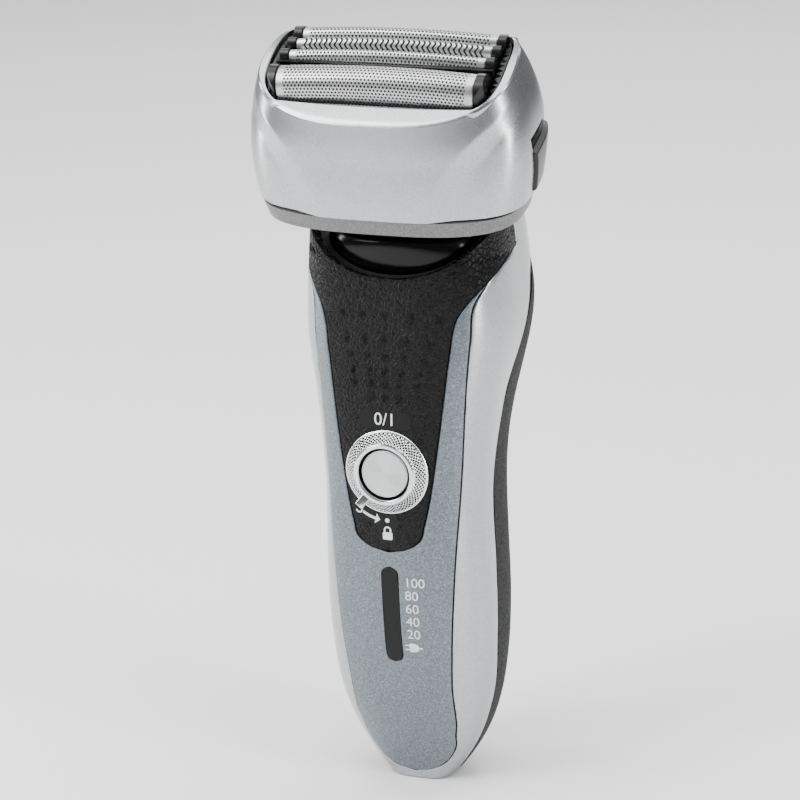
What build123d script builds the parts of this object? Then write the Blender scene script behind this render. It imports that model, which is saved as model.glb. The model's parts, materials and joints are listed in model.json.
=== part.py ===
from build123d import *
import os
from math import cos, sin, radians, degrees, tan

# Electric shaver standing upright on its base, sizes in millimetres.
# X runs across the shaver, the switch faces -Y and Z is up.
# The origin is the centre of the flat base face.
os.makedirs("parts", exist_ok=True)

# fits
skin_gap = 0.12
seat_gap = 0.10
slide_gap = 0.30
running_fit = 0.05

# handle sections: height, half width, front and back
handle_power = 3.0
handle_sections = [
    (0.0, 7.4, -6.8, 7.2),
    (4.0, 10.5, -8.0, 9.5),
    (10.0, 13.9, -10.6, 12.0),
    (20.0, 17.1, -15.0, 14.4),
    (36.0, 18.8, -19.1, 16.4),
    (54.0, 18.9, -21.0, 15.9),
    (72.0, 18.6, -21.3, 15.7),
    (90.0, 20.3, -21.2, 19.2),
    (106.0, 23.1, -20.3, 23.4),
    (118.0, 22.8, -19.5, 22.4),
    (140.0, 21.0, -17.6, 16.0),
]
skin_thickness = 1.2
housing_thickness = 1.7
base_ring_height = 2.2
rim_front_height = 120.6
rim_saddle_radius = 32.0
rim_tilt = 12.0
housing_split = -2.0

# outlines of the skins, half width or depth against height
panel_outline = [
    (0.0, 2.2), (4.7, 3.4), (8.2, 6.5), (10.8, 13.0), (12.1, 28.0), (13.3, 44.0),
    (14.4, 60.0), (15.8, 80.0), (16.5, 92.0), (17.7, 107.0), (18.5, 115.0),
]
grip_flare = [(21.0, 119.5), (23.0, 126.0), (26.0, 140.0)]
grip_outline = [
    (0.0, 59.6), (5.6, 61.0), (7.9, 64.8), (9.1, 70.0), (10.4, 78.0), (11.7, 87.0),
    (12.8, 96.0), (13.8, 104.0), (15.4, 112.0), (19.5, 117.4), (30.0, 122.0),
]
back_outline = [
    (-3.0, 0.0), (-3.0, 10.0), (-2.8, 24.0), (-3.8, 36.0), (-4.4, 50.0), (-5.0, 64.0),
    (-4.8, 76.0), (-3.2, 86.0), (-0.8, 96.0), (3.4, 104.0), (8.4, 112.0), (12.0, 122.0), (14.0, 142.0),
]

# switch
switch_height = 77.6
ring_radius = 9.4
ring_bore = 5.7
ring_front = -23.3
ring_seat = -20.3
ring_lug_angle = 232.0
button_radius = 5.3
button_front = -22.7
button_travel = 0.7
boss_radius = 9.0

# charge lamps
window_length = 22.8
window_width = 3.7
window_height = 44.5
lamp_pitch = 3.1
lamp_top = 52.4

# charging socket
socket_length = 11.4
socket_depth = 7.6
socket_height = 11.0
recess_length = 9.6
recess_depth = 5.8
recess_height = 8.0
contact_pin_radius = 0.7
contact_pin_offset = 3.1
contact_pin_height = 6.0

# inside of the handle
chassis_front = -8.2
chassis_thickness = 1.2
chassis_bottom = 22.0
chassis_top = 108.0
board_front = -12.6
board_thickness = 1.2
board_half_width = 12.0
board_bottom = 34.0
board_top = 92.0
battery_radius = 7.0
battery_length = 50.0
battery_bottom = 30.0
battery_centre = 0.3
clamp_width = 5.0
clamp_thickness = 1.2
peg_radius = 1.8
peg_hole = 0.75
screw_shank = 0.7
screw_head = 1.4

# head frame: sections given across, front and back in the plane of the foils
head_lean = 22.0
head_origin = (0.0, -15.2, 167.0)
head_sections = [
    (-38.0, 26.5, -22.5, 10.0, 3.0),
    (-28.5, 29.6, -23.6, 12.0, 3.0),
    (-14.0, 31.0, -19.4, 15.8, 3.0),
    (-4.0, 28.8, -15.6, 15.8, 2.7),
    (2.0, 26.2, -13.8, 14.8, 2.6),
]
shell_thickness = 1.6
rim_cylinder_radius = 50.0
rim_cylinder_centre = 8.0
rim_cylinder_top = -0.6
opening_half_width = 25.7
opening_back = 14.2
opening_reach = 15.2
opening_front = 12.3
opening_power = 3.4
base_lean = 12.0
band_height = 3.2
band_inset = 0.5
band_rim_drop = 8.0
base_origin = (0.0, -8.84, 134.31)

# foils
foil_half_length = 21.8
foil_arch_rise = 0.85
foil_thickness = 0.3
blade_gap = 0.3
foil_drop = 4.6
foil_leg = 8.0
blade_half_length = 19.9
float_travel = 1.5
drive_travel = 1.1
cap_length = 1.8
front_foil = (-7.6, 3.9, 3.6)
finish_foil = (-0.9, 1.9, 1.9)
slit_foil = (3.6, 1.75, 1.75)
rear_foil = (7.6, 2.0, 3.3)
foil_arch_radius = (foil_half_length**2 + foil_arch_rise**2) / (2 * foil_arch_rise)

# motor and arms inside the head
motor_half_length = 19.0
motor_front = -14.0
motor_back = 5.6
motor_bottom = -22.0
motor_top = -15.5
motor_wall = 1.0
flange_reach = 5.2
flange_screw = 2.6
flange_thickness = 1.5
spigot_half_width = 26.6
spigot_front = -17.7
spigot_back = 9.0
spigot_wall = 1.5
spigot_top = -15.2
guide_pin_offset = 12.0
guide_pin_radius = 0.75

# release buttons
release_outer = 32.8
release_inner = 28.4
release_half_depth = 6.4
release_bottom = -28.0
release_top = -15.4
release_travel = 1.5

# gimbal
pivot_height = 3.0
pivot_pin_radius = 1.0
post_half_width = 5.5
post_half_depth = 4.2
cradle_inner_x = 7.0
cradle_inner_y = 6.0
cradle_wall = 2.6
cradle_height = 4.0

# pop-up trimmer
trimmer_pin_y = 20.0
trimmer_pin_z = 102.0
trimmer_pin_radius = 1.0
trimmer_barrel = 2.2
trimmer_half_width = 13.5
trimmer_top = 125.4
trimmer_front = 15.8
trimmer_body_top = 122.0
bay_half_width = 15.0
bay_floor = 14.5
bay_bottom = 98.6
bay_top = 126.9
bay_gap = 0.15
bay_wall = 0.9
comb_half_width = 12.0
comb_thickness = 0.5
comb_back = 20.75
tooth_pitch = 1.5
tooth_gap = 0.7
slider_travel = 6.0

head_plane = Plane(
    origin=head_origin,
    x_dir=(1, 0, 0),
    z_dir=(0, -sin(radians(head_lean)), cos(radians(head_lean))),
)
base_plane = Plane(
    origin=base_origin,
    x_dir=(1, 0, 0),
    z_dir=(0, -sin(radians(base_lean)), cos(radians(base_lean))),
)
side_plane = Plane(origin=head_origin, x_dir=head_plane.y_dir, z_dir=(1, 0, 0))


def save(block, label):
    block.part.label = label
    export_step(block.part, f"parts/{label}.step")


def signed_power(value, exponent):
    return abs(value) ** exponent * (1 if value >= 0 else -1)


def oval_points(half_width, front, back, power, count=36):
    middle = (front + back) / 2
    half_depth = (back - front) / 2
    points = []
    for index in range(count):
        angle = radians(360 * index / count)
        x = half_width * signed_power(cos(angle), 2 / power)
        y = middle + half_depth * signed_power(sin(angle), 2 / power)
        points.append((x, y))
    return points


def oval(half_width, front, back, power):
    with BuildSketch() as face:
        with BuildLine():
            Spline(*oval_points(half_width, front, back, power), periodic=True)
        make_face()
    return face.sketch


# HANDLE
def handle_body(inset, floor):
    with BuildPart() as body:
        for height, half_width, front, back in handle_sections:
            with BuildSketch(Plane.XY.offset(height)):
                add(oval(half_width - inset, front + inset, back - inset, handle_power))
        loft()
        if floor > 0:
            split(bisect_by=Plane.XY.offset(floor), keep=Keep.TOP)
    return body.part


def rim_cutter(drop):
    axis_height = rim_front_height - drop + rim_saddle_radius
    run_in = 20.0
    start = Plane(
        origin=(
            0,
            handle_sections[-2][2] - run_in * cos(radians(rim_tilt)),
            axis_height - run_in * sin(radians(rim_tilt)),
        ),
        x_dir=(-1, 0, 0),
        z_dir=(0, cos(radians(rim_tilt)), sin(radians(rim_tilt))),
    )
    with BuildPart() as cutter:
        with BuildSketch(start):
            Circle(rim_saddle_radius)
            with Locations((0, rim_saddle_radius)):
                Rectangle(4 * rim_saddle_radius, 2 * rim_saddle_radius)
        extrude(amount=100)
    return cutter.part


def skin_shell():
    with BuildPart() as shell:
        add(handle_body(0, 0))
        add(handle_body(skin_thickness, skin_thickness), mode=Mode.SUBTRACT)
        add(rim_cutter(0), mode=Mode.SUBTRACT)
    return shell.part


def mirrored_outline(points, top):
    right = [(x, z) for x, z in points if x > 0]
    left = [(-x, z) for x, z in reversed(right)]
    return right + [(right[-1][0], top), (left[0][0], top)] + left


def front_region(points, gap, low, top=145.0):
    # prism along Y over the front half, bounded by the outline and its mirror image
    with BuildPart() as region:
        with BuildSketch(Plane.XZ):
            with BuildLine():
                Polyline(*mirrored_outline(points, top), (0, points[0][1]), close=True)
            make_face()
            if gap:
                offset(amount=gap, kind=Kind.INTERSECTION)
        extrude(amount=40)
        if low > 0:
            split(bisect_by=Plane.XY.offset(low), keep=Keep.TOP)
    return region.part


def back_region(gap):
    with BuildPart() as region:
        with BuildSketch(Plane.YZ):
            with BuildLine():
                Polyline(*back_outline, (60, 142), (60, 0), close=True)
            make_face()
            if gap:
                offset(amount=gap, kind=Kind.INTERSECTION)
        extrude(amount=40, both=True)
        split(bisect_by=Plane.XY.offset(base_ring_height - gap), keep=Keep.TOP)
    return region.part


full_skin = skin_shell()
front_outline = panel_outline + grip_flare
socket_gap = 0.1

with BuildPart() as side_frame:
    add(full_skin)
    add(front_region(front_outline, 0, 0), mode=Mode.SUBTRACT)
    add(back_region(0), mode=Mode.SUBTRACT)
    with BuildSketch(Plane.XY.offset(-1)):
        RectangleRounded(socket_length + 2 * socket_gap, socket_depth + 2 * socket_gap, 1.6)
    extrude(amount=6, mode=Mode.SUBTRACT)
save(side_frame, "side_frame")

with BuildPart() as front_panel:
    add(full_skin)
    add(front_region(front_outline, -skin_gap, 0), mode=Mode.INTERSECT)
    add(front_region(grip_outline, 0, 0), mode=Mode.SUBTRACT)
    with BuildSketch(Plane.XZ):
        with Locations((0, window_height)):
            SlotOverall(window_length + 0.2, window_width + 0.2, rotation=90)
    extrude(amount=40, mode=Mode.SUBTRACT)
save(front_panel, "front_panel")

with BuildPart() as front_grip:
    add(full_skin)
    add(front_region(front_outline, -skin_gap, 0), mode=Mode.INTERSECT)
    add(front_region(grip_outline, -skin_gap, 0), mode=Mode.INTERSECT)
    with BuildSketch(Plane.XZ):
        with Locations((0, switch_height)):
            Circle(ring_radius + slide_gap)
    extrude(amount=40, mode=Mode.SUBTRACT)
save(front_grip, "front_grip")

with BuildPart() as lamp_window:
    add(full_skin)
    with BuildSketch(Plane.XZ):
        with Locations((0, window_height)):
            SlotOverall(window_length, window_width, rotation=90)
    extrude(amount=40, mode=Mode.INTERSECT)
save(lamp_window, "lamp_window")

# pop-up trimmer bay, cut through the rear skin and the rear housing
with BuildPart() as bay_cutter:
    with BuildSketch(Plane.XY.offset(bay_bottom)):
        with Locations((0, bay_floor + 20)):
            Rectangle(2 * bay_half_width, 40)
    extrude(amount=bay_top - bay_bottom)

slider_angle = 13.0
slider_centre = (0.0, 18.0, 84.5)
slider_plane = Plane(
    origin=slider_centre,
    x_dir=(-1, 0, 0),
    z_dir=(0, cos(radians(slider_angle)), -sin(radians(slider_angle))),
)
slider_width = 13.0
slider_length = 8.0
slider_sink = 0.8
slider_rise = 1.0

with BuildPart() as slider_recess:
    with BuildSketch(slider_plane.offset(-slider_sink)):
        with Locations((0, slider_travel / 2)):
            RectangleRounded(
                slider_width + 2 * slide_gap,
                slider_length + slider_travel + 2 * slide_gap,
                2.0,
            )
    extrude(amount=10)

with BuildPart() as rear_grip:
    add(full_skin)
    add(back_region(-skin_gap), mode=Mode.INTERSECT)
    add(bay_cutter.part, mode=Mode.SUBTRACT)
    add(slider_recess.part, mode=Mode.SUBTRACT)
save(rear_grip, "rear_grip")

# housing halves under the skins
housing_inset = skin_thickness + seat_gap
inner_inset = housing_inset + housing_thickness
housing_cavity = handle_body(inner_inset, inner_inset + 0.2)

with BuildPart() as housing_shell:
    add(handle_body(housing_inset, housing_inset))
    add(housing_cavity, mode=Mode.SUBTRACT)
    add(rim_cutter(0.6), mode=Mode.SUBTRACT)
    with BuildSketch(Plane.XY.offset(-1)):
        RectangleRounded(socket_length + 2 * socket_gap, socket_depth + 2 * socket_gap, 1.6)
    extrude(amount=15, mode=Mode.SUBTRACT)

with BuildPart() as housing_front:
    add(housing_shell.part)
    split(bisect_by=Plane.XZ.offset(-housing_split + seat_gap / 2), keep=Keep.TOP)
    with BuildSketch(Plane.XZ.offset(-ring_seat - 2.6)):
        with Locations((0, switch_height)):
            Circle(boss_radius)
    extrude(amount=2.6)
    with BuildSketch(Plane.XZ):
        with Locations((0, switch_height)):
            Circle(button_radius + slide_gap)
        with Locations((0, window_height)):
            SlotOverall(window_length + 0.2, window_width + 0.2, rotation=90)
    extrude(amount=40, mode=Mode.SUBTRACT)
save(housing_front, "housing_front")

with BuildPart() as housing_rear:
    add(housing_shell.part)
    split(bisect_by=Plane.XZ.offset(-housing_split - seat_gap / 2), keep=Keep.BOTTOM)
    add(bay_cutter.part, mode=Mode.SUBTRACT)
save(housing_rear, "housing_rear")

# switch on the front
with BuildPart() as lock_ring:
    with BuildSketch(Plane.XZ.offset(-ring_seat + seat_gap)):
        with Locations((0, switch_height)):
            Circle(ring_radius)
    extrude(amount=-ring_front + ring_seat - seat_gap)
    chamfer(lock_ring.edges().filter_by(GeomType.CIRCLE).group_by(Axis.Y)[0], 1.3)
    with BuildSketch(Plane.XZ):
        with Locations((0, switch_height)):
            Circle(ring_bore)
    extrude(amount=40, mode=Mode.SUBTRACT)
    with BuildSketch(Plane.XZ.offset(-ring_seat + 0.6)):
        with Locations((0, switch_height)):
            with PolarLocations(ring_radius - 0.65, 1, start_angle=ring_lug_angle):
                Rectangle(1.6, 2.2)
    extrude(amount=2.2)
save(lock_ring, "lock_ring")

with BuildPart() as power_button:
    with BuildSketch(Plane.XZ.offset(-ring_seat - 1.5)):
        with Locations((0, switch_height)):
            Circle(button_radius)
    extrude(amount=-button_front + ring_seat + 1.5)
    fillet(power_button.edges().filter_by(GeomType.CIRCLE).group_by(Axis.Y)[0], 0.4)
    with BuildSketch(Plane.XZ.offset(-ring_seat - 2.8)):
        with Locations((0, switch_height)):
            Circle(2.0)
    extrude(amount=1.3)
save(power_button, "power_button")

with BuildPart() as light_guide:
    add(handle_body(housing_inset, housing_inset))
    with BuildSketch(Plane.XZ.offset(-board_front + 1.1)):
        with Locations((0, window_height)):
            SlotOverall(window_length - 0.4, window_width - 0.4, rotation=90)
    extrude(amount=20, mode=Mode.INTERSECT)
save(light_guide, "light_guide")

with BuildPart() as charge_lamps:
    for step in range(5):
        with BuildSketch(Plane.XZ.offset(-board_front)):
            with Locations((0, lamp_top - step * lamp_pitch)):
                Rectangle(1.8, 1.4)
        extrude(amount=1.0)
save(charge_lamps, "charge_lamps")

# charging socket in the base
with BuildPart() as charging_socket:
    with BuildSketch(Plane.XY):
        RectangleRounded(socket_length, socket_depth, 1.5)
    extrude(amount=socket_height)
    with BuildSketch(Plane.XY):
        RectangleRounded(recess_length, recess_depth, 1.0)
    extrude(amount=recess_height, mode=Mode.SUBTRACT)
    with BuildSketch(Plane.XY):
        with Locations((-contact_pin_offset, 0), (contact_pin_offset, 0)):
            Circle(contact_pin_radius)
    extrude(amount=socket_height, mode=Mode.SUBTRACT)
save(charging_socket, "charging_socket")

with BuildPart() as socket_pins:
    with BuildSketch(Plane.XY.offset(recess_height - contact_pin_height)):
        with Locations((-contact_pin_offset, 0), (contact_pin_offset, 0)):
            Circle(contact_pin_radius)
    extrude(amount=contact_pin_height + socket_height - recess_height + 2.5)
save(socket_pins, "socket_pins")

# chassis, board and battery
with BuildPart() as chassis:
    chassis_depth = -chassis_front - chassis_thickness
    with BuildSketch(Plane.XZ.offset(chassis_depth)):
        with Locations((0, (chassis_bottom + chassis_top) / 2)):
            Rectangle(60, chassis_top - chassis_bottom)
    extrude(amount=chassis_thickness)
    add(handle_body(inner_inset + seat_gap, inner_inset), mode=Mode.INTERSECT)
    for clamp_bottom in (battery_bottom + 6, battery_bottom + battery_length - 6 - clamp_width):
        with BuildSketch(Plane.XY.offset(clamp_bottom)):
            with Locations((0, battery_centre)):
                Circle(battery_radius + running_fit + clamp_thickness)
                Circle(battery_radius + running_fit, mode=Mode.SUBTRACT)
            with Locations((0, chassis_front + chassis_thickness / 2)):
                Rectangle(12, chassis_thickness)
        extrude(amount=clamp_width)
    peg_spots = [(x, z) for x in (-9.0, 9.0) for z in (board_bottom + 4, board_top - 4)]
    with BuildSketch(Plane.XZ.offset(-chassis_front)):
        with Locations(*peg_spots):
            Circle(peg_radius)
    extrude(amount=chassis_front - board_front - board_thickness)
    with BuildSketch(Plane.XZ.offset(-chassis_front + 0.4)):
        with Locations(*peg_spots):
            Circle(peg_hole)
    extrude(amount=10, mode=Mode.SUBTRACT)
save(chassis, "chassis")

with BuildPart() as circuit_board:
    with BuildSketch(Plane.XZ.offset(-board_front - board_thickness)):
        with Locations((0, (board_bottom + board_top) / 2)):
            RectangleRounded(2 * board_half_width, board_top - board_bottom, 1.5)
        with Locations(*peg_spots):
            Circle(peg_hole, mode=Mode.SUBTRACT)
    extrude(amount=board_thickness)
save(circuit_board, "circuit_board")

with BuildPart() as board_screws:
    with BuildSketch(Plane.XZ.offset(-chassis_front + 0.6)):
        with Locations(*peg_spots):
            Circle(screw_shank)
    extrude(amount=-board_front + chassis_front - 0.6)
    with BuildSketch(Plane.XZ.offset(-board_front)):
        with Locations(*peg_spots):
            Circle(screw_head)
    extrude(amount=0.8)
save(board_screws, "board_screws")

with BuildPart() as tact_switch:
    with BuildSketch(Plane.XZ.offset(-board_front)):
        with Locations((0, switch_height)):
            Rectangle(6, 6)
    extrude(amount=2.2)
    with BuildSketch(Plane.XZ.offset(-board_front + 2.2)):
        with Locations((0, switch_height)):
            Circle(1.6)
    extrude(amount=1.8)
save(tact_switch, "tact_switch")

with BuildPart() as battery:
    with BuildSketch(Plane.XY.offset(battery_bottom)):
        with Locations((0, battery_centre)):
            Circle(battery_radius)
    extrude(amount=battery_length)
    with BuildSketch(Plane.XY.offset(battery_bottom + battery_length)):
        with Locations((0, battery_centre)):
            Circle(2.6)
    extrude(amount=1.0)
save(battery, "battery")

with BuildPart() as battery_tabs:
    tab_thickness = 0.4
    tab_reach = battery_centre - chassis_front - chassis_thickness
    for tab_height in (battery_bottom - tab_thickness, battery_bottom + battery_length + 1.0):
        with BuildSketch(Plane.XY.offset(tab_height)):
            with Locations((0, battery_centre - tab_reach / 2 + 1.5)):
                Rectangle(4, tab_reach + 3)
        extrude(amount=tab_thickness)
save(battery_tabs, "battery_tabs")


# NECK AND GIMBAL
with BuildPart() as neck:
    add(handle_body(inner_inset + seat_gap, 114.0))
    add(rim_cutter(1.0), mode=Mode.SUBTRACT)
    with BuildSketch(Plane.XY.offset(bay_bottom)):
        with Locations((0, bay_floor + 20 - seat_gap)):
            Rectangle(2 * bay_half_width + 0.4, 40)
    extrude(amount=bay_top - bay_bottom + seat_gap, mode=Mode.SUBTRACT)
    with BuildSketch(base_plane.offset(-15.0)):
        add(oval(17.2, -9.6, 14.0, 2.6))
    with BuildSketch(base_plane.offset(-9.5)):
        add(oval(17.2, -9.4, 13.6, 2.6))
    with BuildSketch(base_plane.offset(-6.6)):
        add(oval(16.2, -9.0, 12.8, 2.4))
    with BuildSketch(base_plane.offset(-5.2)):
        add(oval(12.5, -7.8, 9.8, 2.2))
    loft()
    with BuildSketch(base_plane.offset(-6.0)):
        RectangleRounded(2 * post_half_width, 2 * post_half_depth, 1.5)
    extrude(amount=6.0 + pivot_height + 2.0)
    with BuildSketch(Plane(base_plane.location * Location((0, 0, pivot_height), (0, 90, 0)))):
        Circle(pivot_pin_radius)
    extrude(amount=30, both=True, mode=Mode.SUBTRACT)
save(neck, "neck")

tilt_axis_plane = Plane(base_plane.location * Location((0, 0, pivot_height), (0, 90, 0)))
swing_axis_plane = Plane(base_plane.location * Location((0, 0, pivot_height), (90, 0, 0)))
cradle_outer_x = cradle_inner_x + cradle_wall
cradle_outer_y = cradle_inner_y + cradle_wall
cradle_gap = 0.6
boss_length = 2.9

with BuildPart() as tilt_pin:
    with BuildSketch(tilt_axis_plane):
        Circle(pivot_pin_radius)
    extrude(amount=cradle_outer_x, both=True)
save(tilt_pin, "tilt_pin")

with BuildPart() as cradle:
    with BuildSketch(base_plane.offset(pivot_height - cradle_height / 2)):
        RectangleRounded(2 * cradle_outer_x, 2 * cradle_outer_y, 2.0)
        RectangleRounded(2 * cradle_inner_x, 2 * cradle_inner_y, 1.0, mode=Mode.SUBTRACT)
    extrude(amount=cradle_height)
    with BuildSketch(tilt_axis_plane):
        Circle(pivot_pin_radius + running_fit)
    extrude(amount=20, both=True, mode=Mode.SUBTRACT)
    with BuildSketch(swing_axis_plane):
        Circle(pivot_pin_radius)
    extrude(amount=20, both=True, mode=Mode.SUBTRACT)
save(cradle, "cradle")

with BuildPart() as swing_pins:
    with BuildSketch(swing_axis_plane):
        Circle(pivot_pin_radius)
    extrude(amount=cradle_outer_y + cradle_gap + boss_length, both=True)
    with BuildSketch(swing_axis_plane):
        Circle(2 * pivot_pin_radius)
    extrude(amount=cradle_inner_y + 0.1, both=True, mode=Mode.SUBTRACT)
save(swing_pins, "swing_pins")


# HEAD
def head_body(inset, rim_drop):
    with BuildPart() as body:
        for height, half_width, front, back, power in head_sections:
            with BuildSketch(head_plane.offset(height)):
                add(oval(half_width - inset, front + inset, back - inset, power))
        loft()
        with BuildSketch(side_plane):
            with Locations((rim_cylinder_centre, rim_cylinder_top - rim_cylinder_radius)):
                Circle(rim_cylinder_radius - rim_drop)
        extrude(amount=45, both=True, mode=Mode.INTERSECT)
    return body.part


def arch(foil, inset, lift, leg):
    # cross-section of a foil or blade: two quarter ellipses on straight legs
    centre, front_width, back_width = foil
    base = lift - foil_drop
    foot = lift - leg
    front = front_width - inset
    back = back_width - inset
    rise = foil_drop - inset
    with BuildSketch() as face:
        with BuildLine():
            EllipticalCenterArc((centre, base), back, rise, start_angle=0, arc_size=90)
            EllipticalCenterArc((centre, base), front, rise, start_angle=90, arc_size=90)
            Polyline((centre - front, base), (centre - front, foot), (centre + back, foot), (centre + back, base))
        make_face()
    return face.sketch


arch_centre = head_plane.from_local_coords((0, 0, foil_arch_rise - foil_arch_radius))
arch_axis = Axis(arch_centre, head_plane.y_dir)


def bowed(sections, half_length):
    # sweeps the faces along the shallow arc the cutter row follows
    with BuildPart() as body:
        with BuildSketch(side_plane):
            for face, mode in sections:
                add(face, mode=mode)
        revolve(axis=arch_axis, revolution_arc=degrees(half_length / foil_arch_radius))
        mirror(about=Plane.YZ)
    return body.part


def foil_shell(foil, leg):
    outer = arch(foil, 0, foil_arch_rise, leg)
    inner = arch(foil, foil_thickness, foil_arch_rise, leg + 2)
    return bowed([(outer, Mode.ADD), (inner, Mode.SUBTRACT)], foil_half_length)


def end_caps(foils, leg):
    with BuildPart() as caps:
        for side in (-1, 1):
            with BuildSketch(side_plane.offset(side * foil_half_length)):
                for foil in foils:
                    add(arch(foil, -0.1, 0.2, leg))
            extrude(amount=side * cap_length)
        with BuildSketch(head_plane.offset(-12)):
            add(oval(opening_half_width - slide_gap, slide_gap - opening_reach, opening_back - slide_gap, opening_power))
        extrude(amount=16, mode=Mode.INTERSECT)
    return caps


with BuildPart() as head_frame:
    add(head_body(0, 0))
    add(head_body(shell_thickness, shell_thickness), mode=Mode.SUBTRACT)
    split(bisect_by=base_plane.offset(band_height + seat_gap), keep=Keep.TOP)
    with BuildSketch(head_plane.offset(-10)):
        add(oval(opening_half_width, -opening_reach, opening_back, opening_power))
        with Locations((0, -opening_front - 10)):
            Rectangle(80, 20, mode=Mode.SUBTRACT)
    extrude(amount=14, mode=Mode.SUBTRACT)
    with BuildSketch(side_plane):
        with Locations((0, (release_top + slide_gap - 40) / 2)):
            Rectangle(2 * release_half_depth + 2 * slide_gap, release_top + slide_gap + 40)
    extrude(amount=45, both=True, mode=Mode.SUBTRACT)
save(head_frame, "head_frame")

with BuildPart() as spigot:
    with BuildSketch(head_plane.offset(-36)):
        add(oval(spigot_half_width, spigot_front, spigot_back, 3.0))
        add(
            oval(spigot_half_width - spigot_wall, spigot_front + spigot_wall, spigot_back - spigot_wall, 3.0),
            mode=Mode.SUBTRACT,
        )
        with Locations((-(motor_half_length + 4.5), -4), (motor_half_length + 4.5, -4)):
            Rectangle(5.4, 12)
    extrude(amount=36 + motor_bottom - 0.05)
    with BuildSketch(head_plane.offset(-30)):
        add(oval(spigot_half_width, spigot_front, spigot_back, 3.0))
        add(
            oval(spigot_half_width - spigot_wall, spigot_front + spigot_wall, spigot_back - spigot_wall, 3.0),
            mode=Mode.SUBTRACT,
        )
    extrude(amount=30 + spigot_top)
    split(bisect_by=base_plane.offset(1.0), keep=Keep.TOP)

release_stem_half = 3.0
release_stem_bottom = -20.3
release_stem_top = -17.6

with BuildPart() as head_base:
    add(head_body(band_inset, band_rim_drop))
    split(bisect_by=base_plane, keep=Keep.TOP)
    split(bisect_by=base_plane.offset(band_height), keep=Keep.BOTTOM)
    add(spigot.part)
    with BuildSketch(base_plane):
        RectangleRounded(2 * cradle_outer_x + 8, 2 * (cradle_outer_y + cradle_gap + boss_length), 2.0)
    extrude(amount=pivot_height + 2.4)
    with BuildSketch(base_plane.offset(-1)):
        RectangleRounded(2 * cradle_outer_x + 3.2, 2 * (cradle_outer_y + cradle_gap), 2.0)
    extrude(amount=12, mode=Mode.SUBTRACT)
    with BuildSketch(swing_axis_plane):
        Circle(pivot_pin_radius + running_fit)
    extrude(amount=cradle_outer_y + cradle_gap + boss_length + 0.2, both=True, mode=Mode.SUBTRACT)
    with BuildSketch(side_plane):
        with Locations((0, (release_stem_bottom + release_stem_top) / 2)):
            Rectangle(2 * release_stem_half + 0.4, release_stem_top - release_stem_bottom + 0.4)
    extrude(amount=45, both=True, mode=Mode.SUBTRACT)
    with BuildSketch(head_plane.offset(motor_bottom - 3)):
        with Locations((-motor_half_length - flange_screw, -4), (motor_half_length + flange_screw, -4)):
            Circle(peg_hole)
    extrude(amount=4, mode=Mode.SUBTRACT)
save(head_base, "head_base")

with BuildPart() as neck_ring:
    with BuildSketch(base_plane.offset(-2.4)):
        add(oval(18.0, -13.0, 13.0, 2.5))
    with BuildSketch(base_plane.offset(-0.05)):
        add(oval(20.0, -14.5, 14.5, 2.5))
    loft()
    with BuildSketch(base_plane.offset(-4)):
        add(oval(16.0, -11.4, 11.4, 2.5))
    extrude(amount=6, mode=Mode.SUBTRACT)
save(neck_ring, "neck_ring")

for name, side in (("release_button_left", -1), ("release_button_right", 1)):
    with BuildPart() as release_button:
        with BuildSketch(side_plane.offset(side * release_inner)):
            with Locations((0, (release_bottom + release_top) / 2)):
                RectangleRounded(2 * release_half_depth, release_top - release_bottom, 2.0)
        extrude(amount=side * (release_outer - release_inner))
        outer_edges = release_button.edges().group_by(Axis.X)[-1 if side > 0 else 0]
        chamfer(outer_edges, 0.8)
        with BuildSketch(side_plane.offset(side * (spigot_half_width - 1.4))):
            with Locations((0, (release_stem_bottom + release_stem_top) / 2)):
                Rectangle(2 * release_stem_half, release_stem_top - release_stem_bottom)
        extrude(amount=side * (release_inner - spigot_half_width + 1.6))
        for rib in range(3):
            with BuildSketch(side_plane.offset(side * (release_outer - 0.7))):
                with Locations((0, release_top - 2.6 - 1.7 * rib)):
                    Rectangle(2 * release_half_depth - 2.4, 0.8)
            extrude(amount=side * 2, mode=Mode.SUBTRACT)
    save(release_button, name)

cassette_bottom = -12.8
cassette_ledge = -8.5
with BuildPart() as foil_cassette:
    add(head_body(shell_thickness + seat_gap, shell_thickness + 0.4))
    split(bisect_by=head_plane.offset(cassette_bottom), keep=Keep.TOP)
    split(bisect_by=head_plane.offset(cassette_ledge), keep=Keep.BOTTOM)
    with BuildSketch(head_plane.offset(cassette_bottom)):
        add(oval(opening_half_width - slide_gap, -opening_reach, opening_back - slide_gap, opening_power))
        with Locations((0, -opening_front - 10)):
            Rectangle(80, 20 + 2 * slide_gap, mode=Mode.SUBTRACT)
    extrude(amount=12.0)
    with BuildSketch(side_plane):
        with Locations((rim_cylinder_centre, rim_cylinder_top - rim_cylinder_radius)):
            Circle(rim_cylinder_radius - 0.8)
    extrude(amount=45, both=True, mode=Mode.INTERSECT)
    with BuildSketch(head_plane.offset(-16.0)):
        Rectangle(2 * (foil_half_length + cap_length + slide_gap), 24.0)
    extrude(amount=20.0, mode=Mode.SUBTRACT)
save(foil_cassette, "foil_cassette")

bar_front = -3.7
bar_back = -3.1
with BuildPart() as centre_bar:
    with BuildSketch(head_plane.offset(-6.0)):
        with Locations((0, (bar_front + bar_back) / 2)):
            Rectangle(2 * (foil_half_length + cap_length + slide_gap - running_fit), bar_back - bar_front)
    extrude(amount=5.0)
save(centre_bar, "centre_bar")

with BuildPart() as foil_front:
    add(foil_shell(front_foil, foil_leg))
save(foil_front, "foil_front")

with BuildPart() as foil_finishing:
    add(foil_shell(finish_foil, foil_leg - 1))
save(foil_finishing, "foil_finishing")

with BuildPart() as foil_rear:
    add(foil_shell(rear_foil, foil_leg))
save(foil_rear, "foil_rear")

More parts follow.
